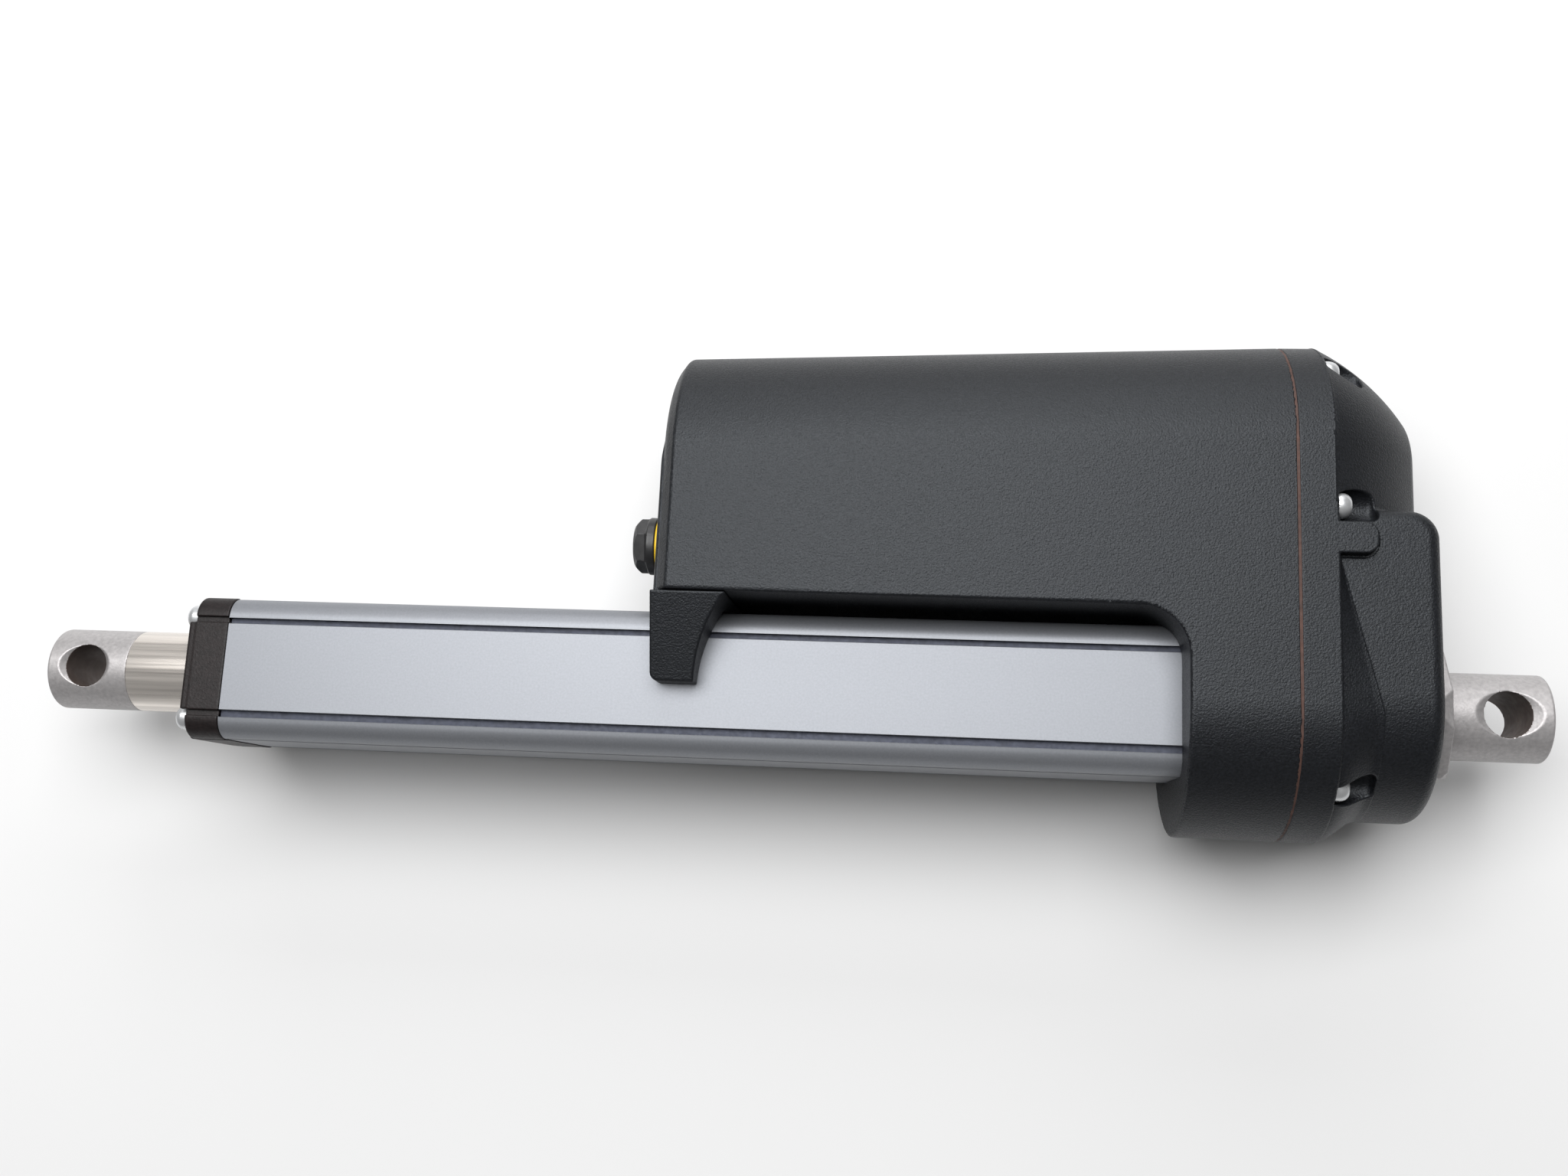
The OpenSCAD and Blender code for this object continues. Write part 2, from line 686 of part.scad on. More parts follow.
// Rotor of the motor
module motor_shaft() {
    color([0.66, 0.67, 0.7]) {
        bar(can_front_x - 12, plate_rear_x, shaft_r, motor_y);
        bar(plate_rear_x - 1, gear_a_x + gear_a_w, shaft_end_r, motor_y);
    }
}
module armature_core() {
    slots = 12;
    color([0.45, 0.45, 0.47]) difference() {
        ring(core_front_x, core_rear_x, magnet_r - 0.8, shaft_r + slip, motor_y);
        for (i = [0:slots - 1]) translate([0, motor_y, 0]) rotate([360 / slots * i, 0, 0])
            block([core_front_x - 1, 14, -0.9], [core_rear_x + 1, magnet_r, 0.9]);
    }
}
module armature_windings() {
    color([0.72, 0.4, 0.2]) for (x = [core_front_x - 8, core_rear_x])
        ring(x, x + 8, magnet_r - 3, shaft_r + 1, motor_y);
}
module commutator() {
    bars = 12;
    color([0.78, 0.5, 0.3]) difference() {
        ring(-116, -99, 10, shaft_r + slip, motor_y);
        for (i = [0:bars - 1]) translate([0, motor_y, 0]) rotate([360 / bars * i, 0, 0])
            block([-117, 9.2, -0.25], [-98, 11, 0.25]);
    }
}
module motor_pinion() {
    color([0.7, 0.7, 0.72]) difference() {
        translate([0, motor_y, 0]) along_x(gear_a_x, gear_a_x + gear_a_w) polygon(gear_points(pinion_teeth, 0));
        bar(gear_a_x - 1, gear_a_x + gear_a_w + 1, shaft_end_r + slip, motor_y);
    }
}
module sensor_magnet() {
    color([0.2, 0.2, 0.22]) ring(can_front_x - 12, can_front_x - 8, 8, shaft_r + slip, motor_y);
}

// Idler: large gear pressed on the hub of the small pinion
hub_r = 7;
module idler_gear() {
    color([0.83, 0.8, 0.7]) difference() {
        translate([0, idler_y, 0]) along_x(gear_a_x, gear_a_x + gear_a_w)
            polygon(gear_points(idler_teeth, 180 / idler_teeth));
        bar(gear_a_x - 1, gear_a_x + gear_a_w + 1, hub_r + slip, idler_y);
    }
}
module idler_pinion() {
    color([0.66, 0.67, 0.69]) difference() {
        union() {
            bar(gear_a_x, gear_b_x, hub_r, idler_y);
            translate([0, idler_y, 0]) along_x(gear_b_x, gear_b_x + gear_b_w)
                polygon(gear_points(idler_pinion_teeth, 180 / idler_pinion_teeth));
        }
        bar(gear_a_x - 1, gear_b_x + gear_b_w + 1, axle_r + running, idler_y);
    }
}

// Spindle
module lead_screw() {
    color([0.55, 0.56, 0.58]) {
        bar(screw_front_x, bearing_wall_x, screw_d / 2);
        bar(bearing_wall_x - 1, rear_bearing_x + bearing_w - 0.5, journal_d / 2);
    }
}
module screw_end_stop() {
    color([0.6, 0.61, 0.63]) bar(screw_front_x - 5, screw_front_x, rod_bore_d / 2 - 0.4);
}
module spindle_gear() {
    color([0.68, 0.69, 0.71]) difference() {
        along_x(gear_b_x, gear_b_x + gear_b_w) polygon(gear_points(spindle_teeth, 180 / spindle_teeth));
        bar(gear_b_x - 1, gear_b_x + gear_b_w + 1, journal_d / 2 + slip);
        for (a = [0:72:288]) bar(gear_b_x - 1, gear_b_x + gear_b_w + 1, 4, 15 * cos(a), 15 * sin(a));
    }
}
module gear_lock_nut() {
    x = gear_b_x + gear_b_w;
    color([0.75, 0.76, 0.78]) difference() {
        along_x(x, x + 2.6) circle(r = 17 / sqrt(3), $fn = 6);
        bar(x - 1, x + 4, journal_d / 2 + slip);
    }
}

// Sliding rod
module inner_tube() {
    color([0.8, 0.8, 0.8]) ring(rod_seam_x, rod_rear_x, rod_r, rod_bore_d / 2);
}
module rod_eye() {
    color([0.6, 0.61, 0.63]) difference() {
        union() {
            bar(front_pin_x - eye_end, rod_seam_x, rod_r);
            bar(rod_seam_x - 1, rod_seam_x + eye_spigot, rod_bore_d / 2 - slip);
        }
        pin_hole(front_pin_x);
    }
}
module drive_nut() {
    color([0.75, 0.6, 0.3]) difference() {
        union() {
            bar(rod_rear_x, nut_rear_x, bush_r + 0.5);
            bar(nut_front_x, rod_rear_x + 1, rod_bore_d / 2 - slip);
        }
        bar(nut_front_x - 1, nut_rear_x + 1, screw_d / 2 + running);
    }
}
module nut_guide_ring() {
    color([0.9, 0.88, 0.8])
        ring(rod_rear_x + 2, nut_rear_x - 2, tube_bore / 2 - 0.08, bush_r + 0.5 + slip);
}

motor_housing();
housing_gasket();
rear_cover();
cover_screws();
rear_mount();
outer_tube();
front_cap();
cap_screws();
wiper_seal();
guide_bush();
front_bracket();
bracket_screws();
blanking_plug();
plug_seal_ring();
power_inlet();
inlet_seal_ring();
circuit_board();
gear_plate();
gear_plate_screws();
motor_screws();
spindle_front_bearing();
spindle_rear_bearing();
idler_axle();
motor_can();
motor_magnets();
motor_front_plate();
motor_rear_plate();
motor_bearings();
brush_holder();
brushes();
motor_shaft();
armature_core();
armature_windings();
commutator();
motor_pinion();
sensor_magnet();
idler_gear();
idler_pinion();
lead_screw();
screw_end_stop();
spindle_gear();
gear_lock_nut();
inner_tube();
rod_eye();
drive_nut();
nut_guide_ring();
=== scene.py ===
import json
import math

import bpy
import numpy as np
from mathutils import Matrix, Vector


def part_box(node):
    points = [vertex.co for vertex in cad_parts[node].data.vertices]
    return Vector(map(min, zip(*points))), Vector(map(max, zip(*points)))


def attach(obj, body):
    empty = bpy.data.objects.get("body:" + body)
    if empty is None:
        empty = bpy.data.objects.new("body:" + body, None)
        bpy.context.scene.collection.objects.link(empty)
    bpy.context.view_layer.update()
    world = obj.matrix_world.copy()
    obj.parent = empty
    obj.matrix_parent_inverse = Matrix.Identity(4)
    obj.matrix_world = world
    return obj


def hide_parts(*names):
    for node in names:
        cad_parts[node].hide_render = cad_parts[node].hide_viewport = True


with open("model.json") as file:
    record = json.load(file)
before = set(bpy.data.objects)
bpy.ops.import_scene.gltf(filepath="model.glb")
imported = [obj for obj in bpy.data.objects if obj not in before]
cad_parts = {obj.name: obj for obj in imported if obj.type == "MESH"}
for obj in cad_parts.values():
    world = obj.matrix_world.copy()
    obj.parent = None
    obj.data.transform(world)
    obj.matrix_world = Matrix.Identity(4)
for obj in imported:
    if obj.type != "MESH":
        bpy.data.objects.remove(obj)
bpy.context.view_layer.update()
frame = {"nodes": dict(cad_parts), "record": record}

# ---------------------------------------------------------------- places, in millimetres
MM = 0.001


def span(node):
    """Lowest and highest corner of a CAD node in millimetres."""
    low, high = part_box(node)
    return np.array(low) / MM, np.array(high) / MM


case_low, case_high = span("motor_housing")
cover_low, cover_high = span("rear_cover")
bracket_low, bracket_high = span("front_bracket")
tube_low, tube_high = span("outer_tube")
cap_low, cap_high = span("front_cap")
eye_low, eye_high = span("rod_eye")
rod_low, rod_high = span("inner_tube")
mount_low, mount_high = span("rear_mount")
plug_low, plug_high = span("blanking_plug")
ring_low, ring_high = span("plug_seal_ring")
inlet_low, inlet_high = span("power_inlet")
wiper_low, wiper_high = span("wiper_seal")

CASE_R = case_high[2]
CASE_FRONT_X = case_low[0]
JOINT_X = case_high[0]
SLEEVE_X = -90.0
SLEEVE_Y = case_low[1] + CASE_R
SEAL_REACH = 0.3
TOP_REAR = case_high[1] - CASE_R
FLOOR_Y = 24.5
FLOOR_SLOPE = 0.0065
WINDOW_R = 13.0
CAVITY_R = 29.6
MOTOR_Y = 70.0
FLANGE_X = -50.5
COVER_X = cover_high[0]
TUBE_HALF = tube_high[1]
TUBE_CORNER = 6.5
TUBE_BORE_R = 17.0
GROOVE_Y = 14.1
SCREW_POS = 15.3
ROD_R = rod_high[1]
PIN_R = 6.5
EYE_END = 12.0
PLATE_FACE_X = bracket_low[0]
PLATE_BACK_X = PLATE_FACE_X + 3.2
SOCKET_Y = (plug_low[1] + plug_high[1]) / 2
SOCKET_Z = (plug_low[2] + plug_high[2]) / 2
COVER_SCREWS = ((94.0, 22.5), (53.0, 32.4), (-23.0, 23.5))
BRACKET_SCREWS = ((76.0, 0.0), (60.0, 24.0), (60.0, -24.0))


# ---------------------------------------------------------------- solids as distance fields
def keep_both(a, b, r=0.0):
    """Intersection, with the new edge rounded to radius r."""
    if r <= 0:
        return np.maximum(a, b)
    corner = np.hypot(np.maximum(a + r, 0), np.maximum(b + r, 0)) - r
    return np.where((a > -r) & (b > -r), corner, np.maximum(a, b))


def join(a, b, r=0.0):
    """Union, with the new inner corner filled to radius r."""
    return -keep_both(-a, -b, r)


def cut(a, b, r=0.0):
    """a without b, with the new edge rounded to radius r."""
    return keep_both(a, -b, r)


def between(value, low, high):
    """Distance to the slab from low to high."""
    return np.maximum(low - value, value - high)


def rounded_box(u, v, half_u, half_v, r):
    """Distance to a rectangle with round corners, in two dimensions."""
    du = np.abs(u) - half_u + r
    dv = np.abs(v) - half_v + r
    outside = np.hypot(np.maximum(du, 0), np.maximum(dv, 0))
    return outside + np.minimum(np.maximum(du, dv), 0) - r


def stadium(y, z, y0, y1, r):
    """Distance to a slot outline: radius r round the line from y0 to y1."""
    return np.hypot(y - np.clip(y, y0, y1), z) - r


CORNERS = [(i, j, k) for i in (0, 1) for j in (0, 1) for k in (0, 1)]
EDGES = [(a, b) for a in range(8) for b in range(a + 1, 8)
         if sum(abs(CORNERS[a][n] - CORNERS[b][n]) for n in range(3)) == 1]


def sample(field, low, high, step):
    """Field values on a grid of points a little larger than the box, and the grid's first point."""
    first = np.array(low, float) - 1.5 * step
    count = np.ceil((np.array(high) + 1.5 * step - first) / step).astype(int) + 1
    axes = [first[n] + step * np.arange(count[n]) for n in range(3)]
    x, y, z = np.meshgrid(*axes, indexing="ij", sparse=True)
    return np.broadcast_to(field(x, y, z), tuple(count)).astype(np.float32), first


def surface_cells(value):
    """Cells that the surface passes through, with one point in each, and the index of every cell."""
    inside = value < 0
    cells = tuple(size - 1 for size in value.shape)
    full = np.zeros(cells, np.int8)
    for i, j, k in CORNERS:
        full += inside[i:i + cells[0], j:j + cells[1], k:k + cells[2]]
    active = (full > 0) & (full < len(CORNERS))
    index = np.full(cells, -1, np.int64)
    where = np.argwhere(active)
    index[active] = np.arange(len(where))
    corners = np.array(CORNERS)
    at = np.stack([value[tuple((where + c).T)] for c in corners], 1)
    total = np.zeros((len(where), 3))
    hits = np.zeros(len(where))
    for a, b in EDGES:
        crossing = (at[:, a] < 0) != (at[:, b] < 0)
        t = at[:, a] / np.where(crossing, at[:, a] - at[:, b], 1)
        point = corners[a] + t[:, None] * (corners[b] - corners[a])
        total += np.where(crossing[:, None], point, 0)
        hits += crossing
    return where + total / hits[:, None], index


def surface_quads(value, index):
    """A quad round every grid edge that the surface crosses, between the points of its four cells."""
    inside = value < 0
    quads = []
    for axis in range(3):
        other = [n for n in range(3) if n != axis]
        lower = [slice(1, -1)] * 3
        lower[axis] = slice(0, -1)
        upper = list(lower)
        upper[axis] = slice(1, None)
        start, end = inside[tuple(lower)], inside[tuple(upper)]
        for flip in (False, True):
            base = np.argwhere((~start & end) if flip else (start & ~end))
            base[:, other] += 1
            ring = []
            for du, dv in ((-1, -1), (0, -1), (0, 0), (-1, 0)):
                cell = base.copy()
                cell[:, other[0]] += du
                cell[:, other[1]] += dv
                ring.append(index[tuple(cell.T)])
            quad = np.stack(ring, 1)
            quads.append(quad[:, ::-1] if flip != (axis == 1) else quad)
    return np.concatenate(quads)


def skin(field, low, high, step):
    """Vertices and quads of the surface where the field is zero, inside a box."""
    value, first = sample(field, low, high, step)
    points, index = surface_cells(value)
    verts = settle(field, first + step * points, step)
    return verts, surface_quads(value, index)


def settle(field, verts, step):
    """Moves points onto the surface, by less than a cell."""
    for _ in range(2):
        slope = slopes(field, verts, 0.02)
        push = field(*verts.T) / np.maximum((slope ** 2).sum(1), 0.25)
        verts = verts - np.clip(push, -0.5 * step, 0.5 * step)[:, None] * slope
    return verts


def new_mesh(name, verts, faces):
    mesh = bpy.data.meshes.new(name)
    mesh.from_pydata((np.asarray(verts) * MM).tolist(), [], np.asarray(faces).tolist())
    mesh.shade_smooth()
    mesh.update()
    return mesh


def slopes(field, verts, h):
    """Gradient of the field at each point."""
    steps = h * np.eye(3)
    return np.stack([field(*(verts + s).T) - field(*(verts - s).T) for s in steps], 1) / (2 * h)


def place(name, mesh, node, body, material):
    """Puts a finished mesh in the scene in place of a CAD node."""
    piece = bpy.data.objects.new(name, mesh)
    bpy.context.scene.collection.objects.link(piece)
    piece.data.materials.append(material)
    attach(piece, body)
    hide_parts(node)
    return piece


def cast(name, field, low, high, step, keep=1.0):
    """Mesh of a distance field, thinned where it is flat, with normals taken from the field."""
    verts, quads = skin(field, low, high, step)
    mesh = new_mesh(name, verts, quads)
    if keep < 1:
        thin = bpy.data.objects.new(name + "_thin", mesh)
        bpy.context.scene.collection.objects.link(thin)
        thin.modifiers.new("thin", "DECIMATE").ratio = keep
        graph = bpy.context.evaluated_depsgraph_get()
        mesh = bpy.data.meshes.new_from_object(thin.evaluated_get(graph))
        bpy.data.objects.remove(thin)
        mesh.name = name
    points = np.zeros(len(mesh.vertices) * 3)
    mesh.vertices.foreach_get("co", points)
    points = settle(field, points.reshape(-1, 3) / MM, step)
    mesh.vertices.foreach_set("co", (points * MM).ravel())
    mesh.shade_smooth()
    mesh.update()
    give_normals(mesh, slopes(field, points, 0.06))
    return mesh


def give_normals(mesh, slope):
    """Corner normals from the field, or from the face itself beside a crease."""
    smooth = slope / np.maximum(np.linalg.norm(slope, axis=1), 1e-6)[:, None]
    vertex = np.zeros(len(mesh.loops), np.int32)
    mesh.loops.foreach_get("vertex_index", vertex)
    corners = np.zeros(len(mesh.polygons), np.int32)
    mesh.polygons.foreach_get("loop_total", corners)
    facing = np.zeros(3 * len(mesh.polygons))
    mesh.polygons.foreach_get("normal", facing)
    flat = np.repeat(facing.reshape(-1, 3), corners, axis=0)
    normals = smooth[vertex]
    crease = (normals * flat).sum(1) < math.cos(math.radians(32))
    normals[crease] = flat[crease]
    mesh.normals_split_custom_set(normals.tolist())


# ---------------------------------------------------------------- the castings
TOP_DROP = 5.0
TOP_FRONT = TOP_REAR - TOP_DROP
BEVEL_LENGTH, BEVEL_DEPTH = 4.0, 5.0
RIM_EDGE = 0.35
ROOM_FLOOR_Y, ROOM_MIDDLE_Y = 27, 60
ROOM_FRONT_X, GEAR_ROOM_X = -234.5, -72
BEARING_SEAT_R, BEARING_SEAT_X = 21, -80.5
TUBE_GAP = 0.1
CONNECTOR_ROOM_R, CONNECTOR_ROOM_X = 8, -230
ARCH_TOP_Y, ARCH_R, ARCH_LENGTH = 52, 32, 60


def case_top(x):
    """Height of the centre of the round top, which falls towards the front."""
    share = (x - CASE_FRONT_X) / (JOINT_X - CASE_FRONT_X)
    return TOP_FRONT + (TOP_REAR - TOP_FRONT) * share


def case_shell(x, y, z):
    """Long drafted body, with a bevel round its front end, before the window is cut."""
    side = stadium(y, z, SLEEVE_Y, case_top(x), CASE_R)
    front = CASE_FRONT_X - x
    slant = math.hypot(BEVEL_LENGTH, BEVEL_DEPTH)
    bevel = (BEVEL_LENGTH * side + BEVEL_DEPTH * (front + BEVEL_LENGTH)) / slant
    return keep_both(keep_both(side, bevel, 0.6), front, 2.0)


def case_field(x, y, z):
    body = case_shell(x, y, z)
    body = keep_both(body, x - JOINT_X - SEAL_REACH, RIM_EDGE)
    floor_y = FLOOR_Y - FLOOR_SLOPE * (x - CASE_FRONT_X)
    window = keep_both(x - SLEEVE_X, y - floor_y, WINDOW_R)
    body = cut(body, window, 0.8)
    room_top = np.maximum(stadium(y, z, ROOM_MIDDLE_Y, MOTOR_Y, CAVITY_R), ROOM_FLOOR_Y - y)
    room_low = np.maximum(np.abs(z) - CAVITY_R, between(y, ROOM_FLOOR_Y, ROOM_MIDDLE_Y))
    motor_room = np.maximum(np.minimum(room_top, room_low), ROOM_FRONT_X - x)
    gear_room = np.maximum(stadium(y, z, 0, MOTOR_Y, CAVITY_R), GEAR_ROOM_X - x)
    body = cut(body, np.minimum(motor_room, gear_room))
    body = cut(body, np.maximum(np.hypot(y, z) - BEARING_SEAT_R, BEARING_SEAT_X - x))
    opening = TUBE_HALF + TUBE_GAP
    tube_socket = rounded_box(y, z, opening, opening, TUBE_CORNER)
    body = cut(body, np.maximum(tube_socket, x - tube_high[0]), 0.5)
    plate_pocket = np.maximum(arch(y, z, 0.25), x - PLATE_BACK_X)
    body = cut(body, plate_pocket, 0.25)
    connectors = np.hypot(y - SOCKET_Y, np.abs(z) - SOCKET_Z) - CONNECTOR_ROOM_R
    return cut(body, np.maximum(connectors, x - CONNECTOR_ROOM_X))


def arch(y, z, grow):
    """Outline of the front plate, widened by grow."""
    outline = stadium(y, z, FLOOR_Y - ARCH_LENGTH, ARCH_TOP_Y, ARCH_R + grow)
    return np.maximum(outline, FLOOR_Y - 1 - y)


def arc_centre(start, end, r):
    """Centre of the arc of radius r through two points, on the right of the way between them."""
    way = end - start
    length = np.hypot(*way)
    across = np.array([way[1], -way[0]]) / length
    return (start + end) / 2 + math.sqrt(r * r - length * length / 4) * across


FOOT_SETBACK = 0.4
FOOT_TIP_LENGTH, FOOT_ROOT_LENGTH = 12.6, 22
FOOT_HOLLOW_R = 42.0
FOOT_TIP_REACH = 28.5
FOOT_GAP = 0.35
WEB_LOW_Y, WEB_HIGH_Y, WEB_REACH = 22, 26, 20
CONNECTOR_HOLE_R = 5.1
BRACKET_HEAD_R, BRACKET_HEAD_DEPTH = 3.05, 1.5


def foot_outline(x, y):
    """Side outline of the foot: straight front edge, hollow rear edge."""
    front = PLATE_FACE_X + FOOT_SETBACK
    tip = np.array([front + FOOT_TIP_LENGTH, bracket_low[1]])
    root = np.array([front + FOOT_ROOT_LENGTH, FLOOR_Y])
    centre = arc_centre(tip, root, FOOT_HOLLOW_R)
    hollow = FOOT_HOLLOW_R - np.hypot(x - centre[0], y - centre[1])
    outline = keep_both(front - x, bracket_low[1] - y, 2.5)
    outline = keep_both(outline, hollow, 0.6)
    return keep_both(outline, y - (FLOOR_Y - FOOT_GAP), 0.4)


def bracket_field(x, y, z):
    shift = PLATE_FACE_X - CASE_FRONT_X
    plate = np.maximum(arch(y, z, 0), x - PLATE_BACK_X)
    plate = keep_both(plate, case_shell(x - shift, y, z), 0.5)
    share = (y - bracket_low[1]) / (FLOOR_Y - bracket_low[1])
    reach = FOOT_TIP_REACH + (CASE_R - FOOT_TIP_REACH) * share
    foot = keep_both(foot_outline(x, y), np.abs(z) - reach, 0.7)
    opening = TUBE_HALF + TUBE_GAP
    foot = cut(foot, rounded_box(y + opening, z, 2 * opening, opening, 1), 0.5)
    web = np.maximum(between(x, PLATE_FACE_X + 0.5, PLATE_BACK_X), between(y, WEB_LOW_Y, WEB_HIGH_Y))
    web = np.maximum(web, np.abs(z) - WEB_REACH)
    body = join(np.minimum(plate, web), foot, 0.3)
    connectors = np.hypot(y - SOCKET_Y, np.abs(z) - SOCKET_Z) - CONNECTOR_HOLE_R
    body = cut(body, connectors, 0.3)
    for sy, sz in BRACKET_SCREWS:
        head = np.hypot(y - sy, z - sz) - BRACKET_HEAD_R
        body = cut(body, np.maximum(head, x - (PLATE_FACE_X + BRACKET_HEAD_DEPTH)), 0.2)
    return body


DOME_START_R, DOME_END_R, DOME_ARC_R = 36.2, 12.0, 72.0
BULGE_HALF, BULGE_LOW_Y, BULGE_TOP_Y = 33.5, 2.5, 52.5
SKIRT_TOP_Y, SKIRT_LOW_Y = 39.5, -3.6
SKIRT_RUN = 11.0
SKIRT_STEP, SKIRT_BLEND, SKIRT_FLATNESS = 0.5, 18.0, 0.6
TAB_X, TAB_Y = -48.4, 43.6
TAB_HALF_LENGTH, TAB_HALF_WIDTH = 8.2, 4.5
CHANNEL_DEPTH = 11.0
DOME_LOW_Y = 56.0
TAB_CORNER, TAB_DEPTH_Z = 3.6, 28
TAB_GROOVE, TAB_GROOVE_HALF = 0.3, 0.35
CHANNEL_R, COVER_SCREW_HOLE_R = 4.4, 2.3
GEAR_STEP_X = -53.5
IDLER_Y = 35
SPINDLE_ROOM_R, IDLER_ROOM_R, SPINDLE_ROOM_X = 26.4, 13, -38
MOTOR_ROOM_R, MOTOR_ROOM_X = 18, -36
BEARING_R, BEARING_X = 15.02, -28.5
MOUNT_HOLE_R = 12.5


def dome_part(x, y, z):
    """Round cap over the motor end, turned about a line between two axes."""
    start = np.array([FLANGE_X, DOME_START_R])
    end = np.array([COVER_X, DOME_END_R])
    cx, cr = arc_centre(start, end, DOME_ARC_R)
    from_axis = np.hypot(y - np.clip(y, DOME_LOW_Y, TOP_REAR), z)
    round_off = np.hypot(x - cx, from_axis - cr) - DOME_ARC_R
    dome = keep_both(round_off, x - COVER_X, 2.5)
    return np.maximum(dome, FLANGE_X - 1 - x)


def bulge_sides(y, z):
    """Outline of the gear bulge: straight sides and a round underside."""
    return np.where(y < BULGE_LOW_Y, np.hypot(y - BULGE_LOW_Y, z), np.abs(z)) - BULGE_HALF


def bulge_part(x, y, z):
    rear = keep_both(x - COVER_X, y - BULGE_TOP_Y, 8.0)
    return np.maximum(keep_both(bulge_sides(y, z), rear, 4.0), FLANGE_X - 1 - x)


def skirt_part(x, y, z):
    """Slope from the flange down to the bulge, which grows longer towards the underside."""
    flange_sides = stadium(y, z, SLEEVE_Y, TOP_REAR, CASE_R) + SKIRT_STEP
    run = SKIRT_RUN * np.clip((SKIRT_TOP_Y - y) / (SKIRT_TOP_Y - SKIRT_LOW_Y), 0.05, 1)
    t = np.clip((x - FLANGE_X) / run, 0, 1)
    under = np.clip((SKIRT_LOW_Y - y) / SKIRT_BLEND, 0, 1)
    share = t + (t * t * (3 - 2 * t) - t) * under
    slope = SKIRT_FLATNESS * (flange_sides + (bulge_sides(y, z) - flange_sides) * share)
    ends = np.maximum(x - FLANGE_X - run, FLANGE_X - 1 - x)
    return np.maximum(np.maximum(slope, ends), y - SKIRT_TOP_Y)


def add_tab(body, x, y, side):
    """Rounded tab across the step behind the flange, with a shallow groove round it."""
    tab_x, tab_y = x - TAB_X, y - TAB_Y
    tab = rounded_box(tab_x, tab_y, TAB_HALF_LENGTH, TAB_HALF_WIDTH, TAB_CORNER)
    tab = keep_both(tab, side - CASE_R, 0.7)
    body = np.minimum(body, np.maximum(tab, TAB_DEPTH_Z - side))
    outline = rounded_box(tab_x, tab_y, TAB_HALF_LENGTH + TAB_GROOVE,
                          TAB_HALF_WIDTH + TAB_GROOVE, TAB_CORNER + TAB_GROOVE)
    outline = np.abs(outline) - TAB_GROOVE_HALF
    outline = np.maximum(outline, between(side, BULGE_HALF - 0.5, CASE_R))
    return cut(body, np.maximum(outline, FLANGE_X + 0.5 - x), 0.2)


def gear_rooms(x, y, z):
    """Room inside the cover for the gears, the rear bearing and the motor's end."""
    rooms = np.maximum(stadium(y, z, 0, MOTOR_Y, CAVITY_R), x - GEAR_STEP_X)
    for room, end in (
            (np.hypot(y, z) - SPINDLE_ROOM_R, SPINDLE_ROOM_X),
            (stadium(y, z, 0, IDLER_Y, IDLER_ROOM_R), SPINDLE_ROOM_X),
            (np.hypot(y - MOTOR_Y, z) - MOTOR_ROOM_R, MOTOR_ROOM_X),
            (np.hypot(y, z) - BEARING_R, BEARING_X)):
        rooms = np.minimum(rooms, np.maximum(room, x - end))
    return rooms


def cover_field(x, y, z):
    side = np.abs(z)
    rim = JOINT_X + 1 - SEAL_REACH - x
    flange = keep_both(stadium(y, z, SLEEVE_Y, TOP_REAR, CASE_R), x - FLANGE_X, 0.6)
    flange = keep_both(flange, rim, RIM_EDGE)
    body = join(dome_part(x, y, z), bulge_part(x, y, z), 1.5)
    body = join(body, skirt_part(x, y, z), 0.5)
    body = add_tab(np.minimum(body, flange), x, y, side)
    for sy, sz in COVER_SCREWS:
        away = np.hypot(y - sy, side - sz)
        channel = keep_both(away - CHANNEL_R, x - FLANGE_X - CHANNEL_DEPTH, 2.0)
        body = cut(body, np.maximum(channel, FLANGE_X - x), 0.6)
        body = cut(body, np.maximum(away - COVER_SCREW_HOLE_R, x - FLANGE_X - 1))
    body = np.maximum(body, rim)
    body = cut(body, gear_rooms(x, y, z))
    return cut(body, np.hypot(y, z) - MOUNT_HOLE_R)


CAP_GROW = 0.25
PAD_EDGE, PAD_DEPTH = 13.2, 1.8
NOTCH_HALF, NOTCH_DEPTH = 0.8, 1.1
SCREW_POCKET_R, SCREW_HOLE_R = 4.5, 2.2
WIPER_SEAT_R, WIPER_SEAT_DEPTH = 16.5, 4.5
ROD_GAP = 0.4
CAP_SPIGOT_R, CAP_BORE_R = 16.95, 15


def cap_field(x, y, z):
    half = TUBE_HALF + CAP_GROW
    pad_x = cap_low[0] + PAD_DEPTH
    square = rounded_box(y, z, half, half, TUBE_CORNER)
    body = keep_both(square, pad_x - x, 1.0)
    body = keep_both(body, x - tube_low[0], 0.4)
    pad = keep_both(PAD_EDGE - np.abs(y), PAD_EDGE - np.abs(z), 2.0)
    collar = keep_both(square, cap_low[0] - x, 1.0)
    collar = np.maximum(cut(collar, pad, 0.5), x - tube_low[0])
    body = join(body, collar, 0.3)
    for along, across in ((np.abs(y), np.abs(z)), (np.abs(z), np.abs(y))):
        notch = np.abs(along - GROOVE_Y) - NOTCH_HALF
        body = cut(body, np.maximum(notch, half - NOTCH_DEPTH - across), 0.4)
    spot = np.hypot(np.abs(y) - SCREW_POS, np.abs(z) - SCREW_POS)
    body = cut(body, np.maximum(spot - SCREW_POCKET_R, x - pad_x), 0.4)
    body = cut(body, spot - SCREW_HOLE_R)
    r = np.hypot(y, z)
    body = cut(body, np.maximum(r - WIPER_SEAT_R, x - (cap_low[0] + WIPER_SEAT_DEPTH)), 0.4)
    body = cut(body, r - (ROD_R + ROD_GAP))
    spigot = np.maximum(r - CAP_SPIGOT_R, between(x, tube_low[0] - 1, cap_high[0]))
    spigot = np.maximum(spigot, CAP_BORE_R - r)
    return np.minimum(body, spigot)


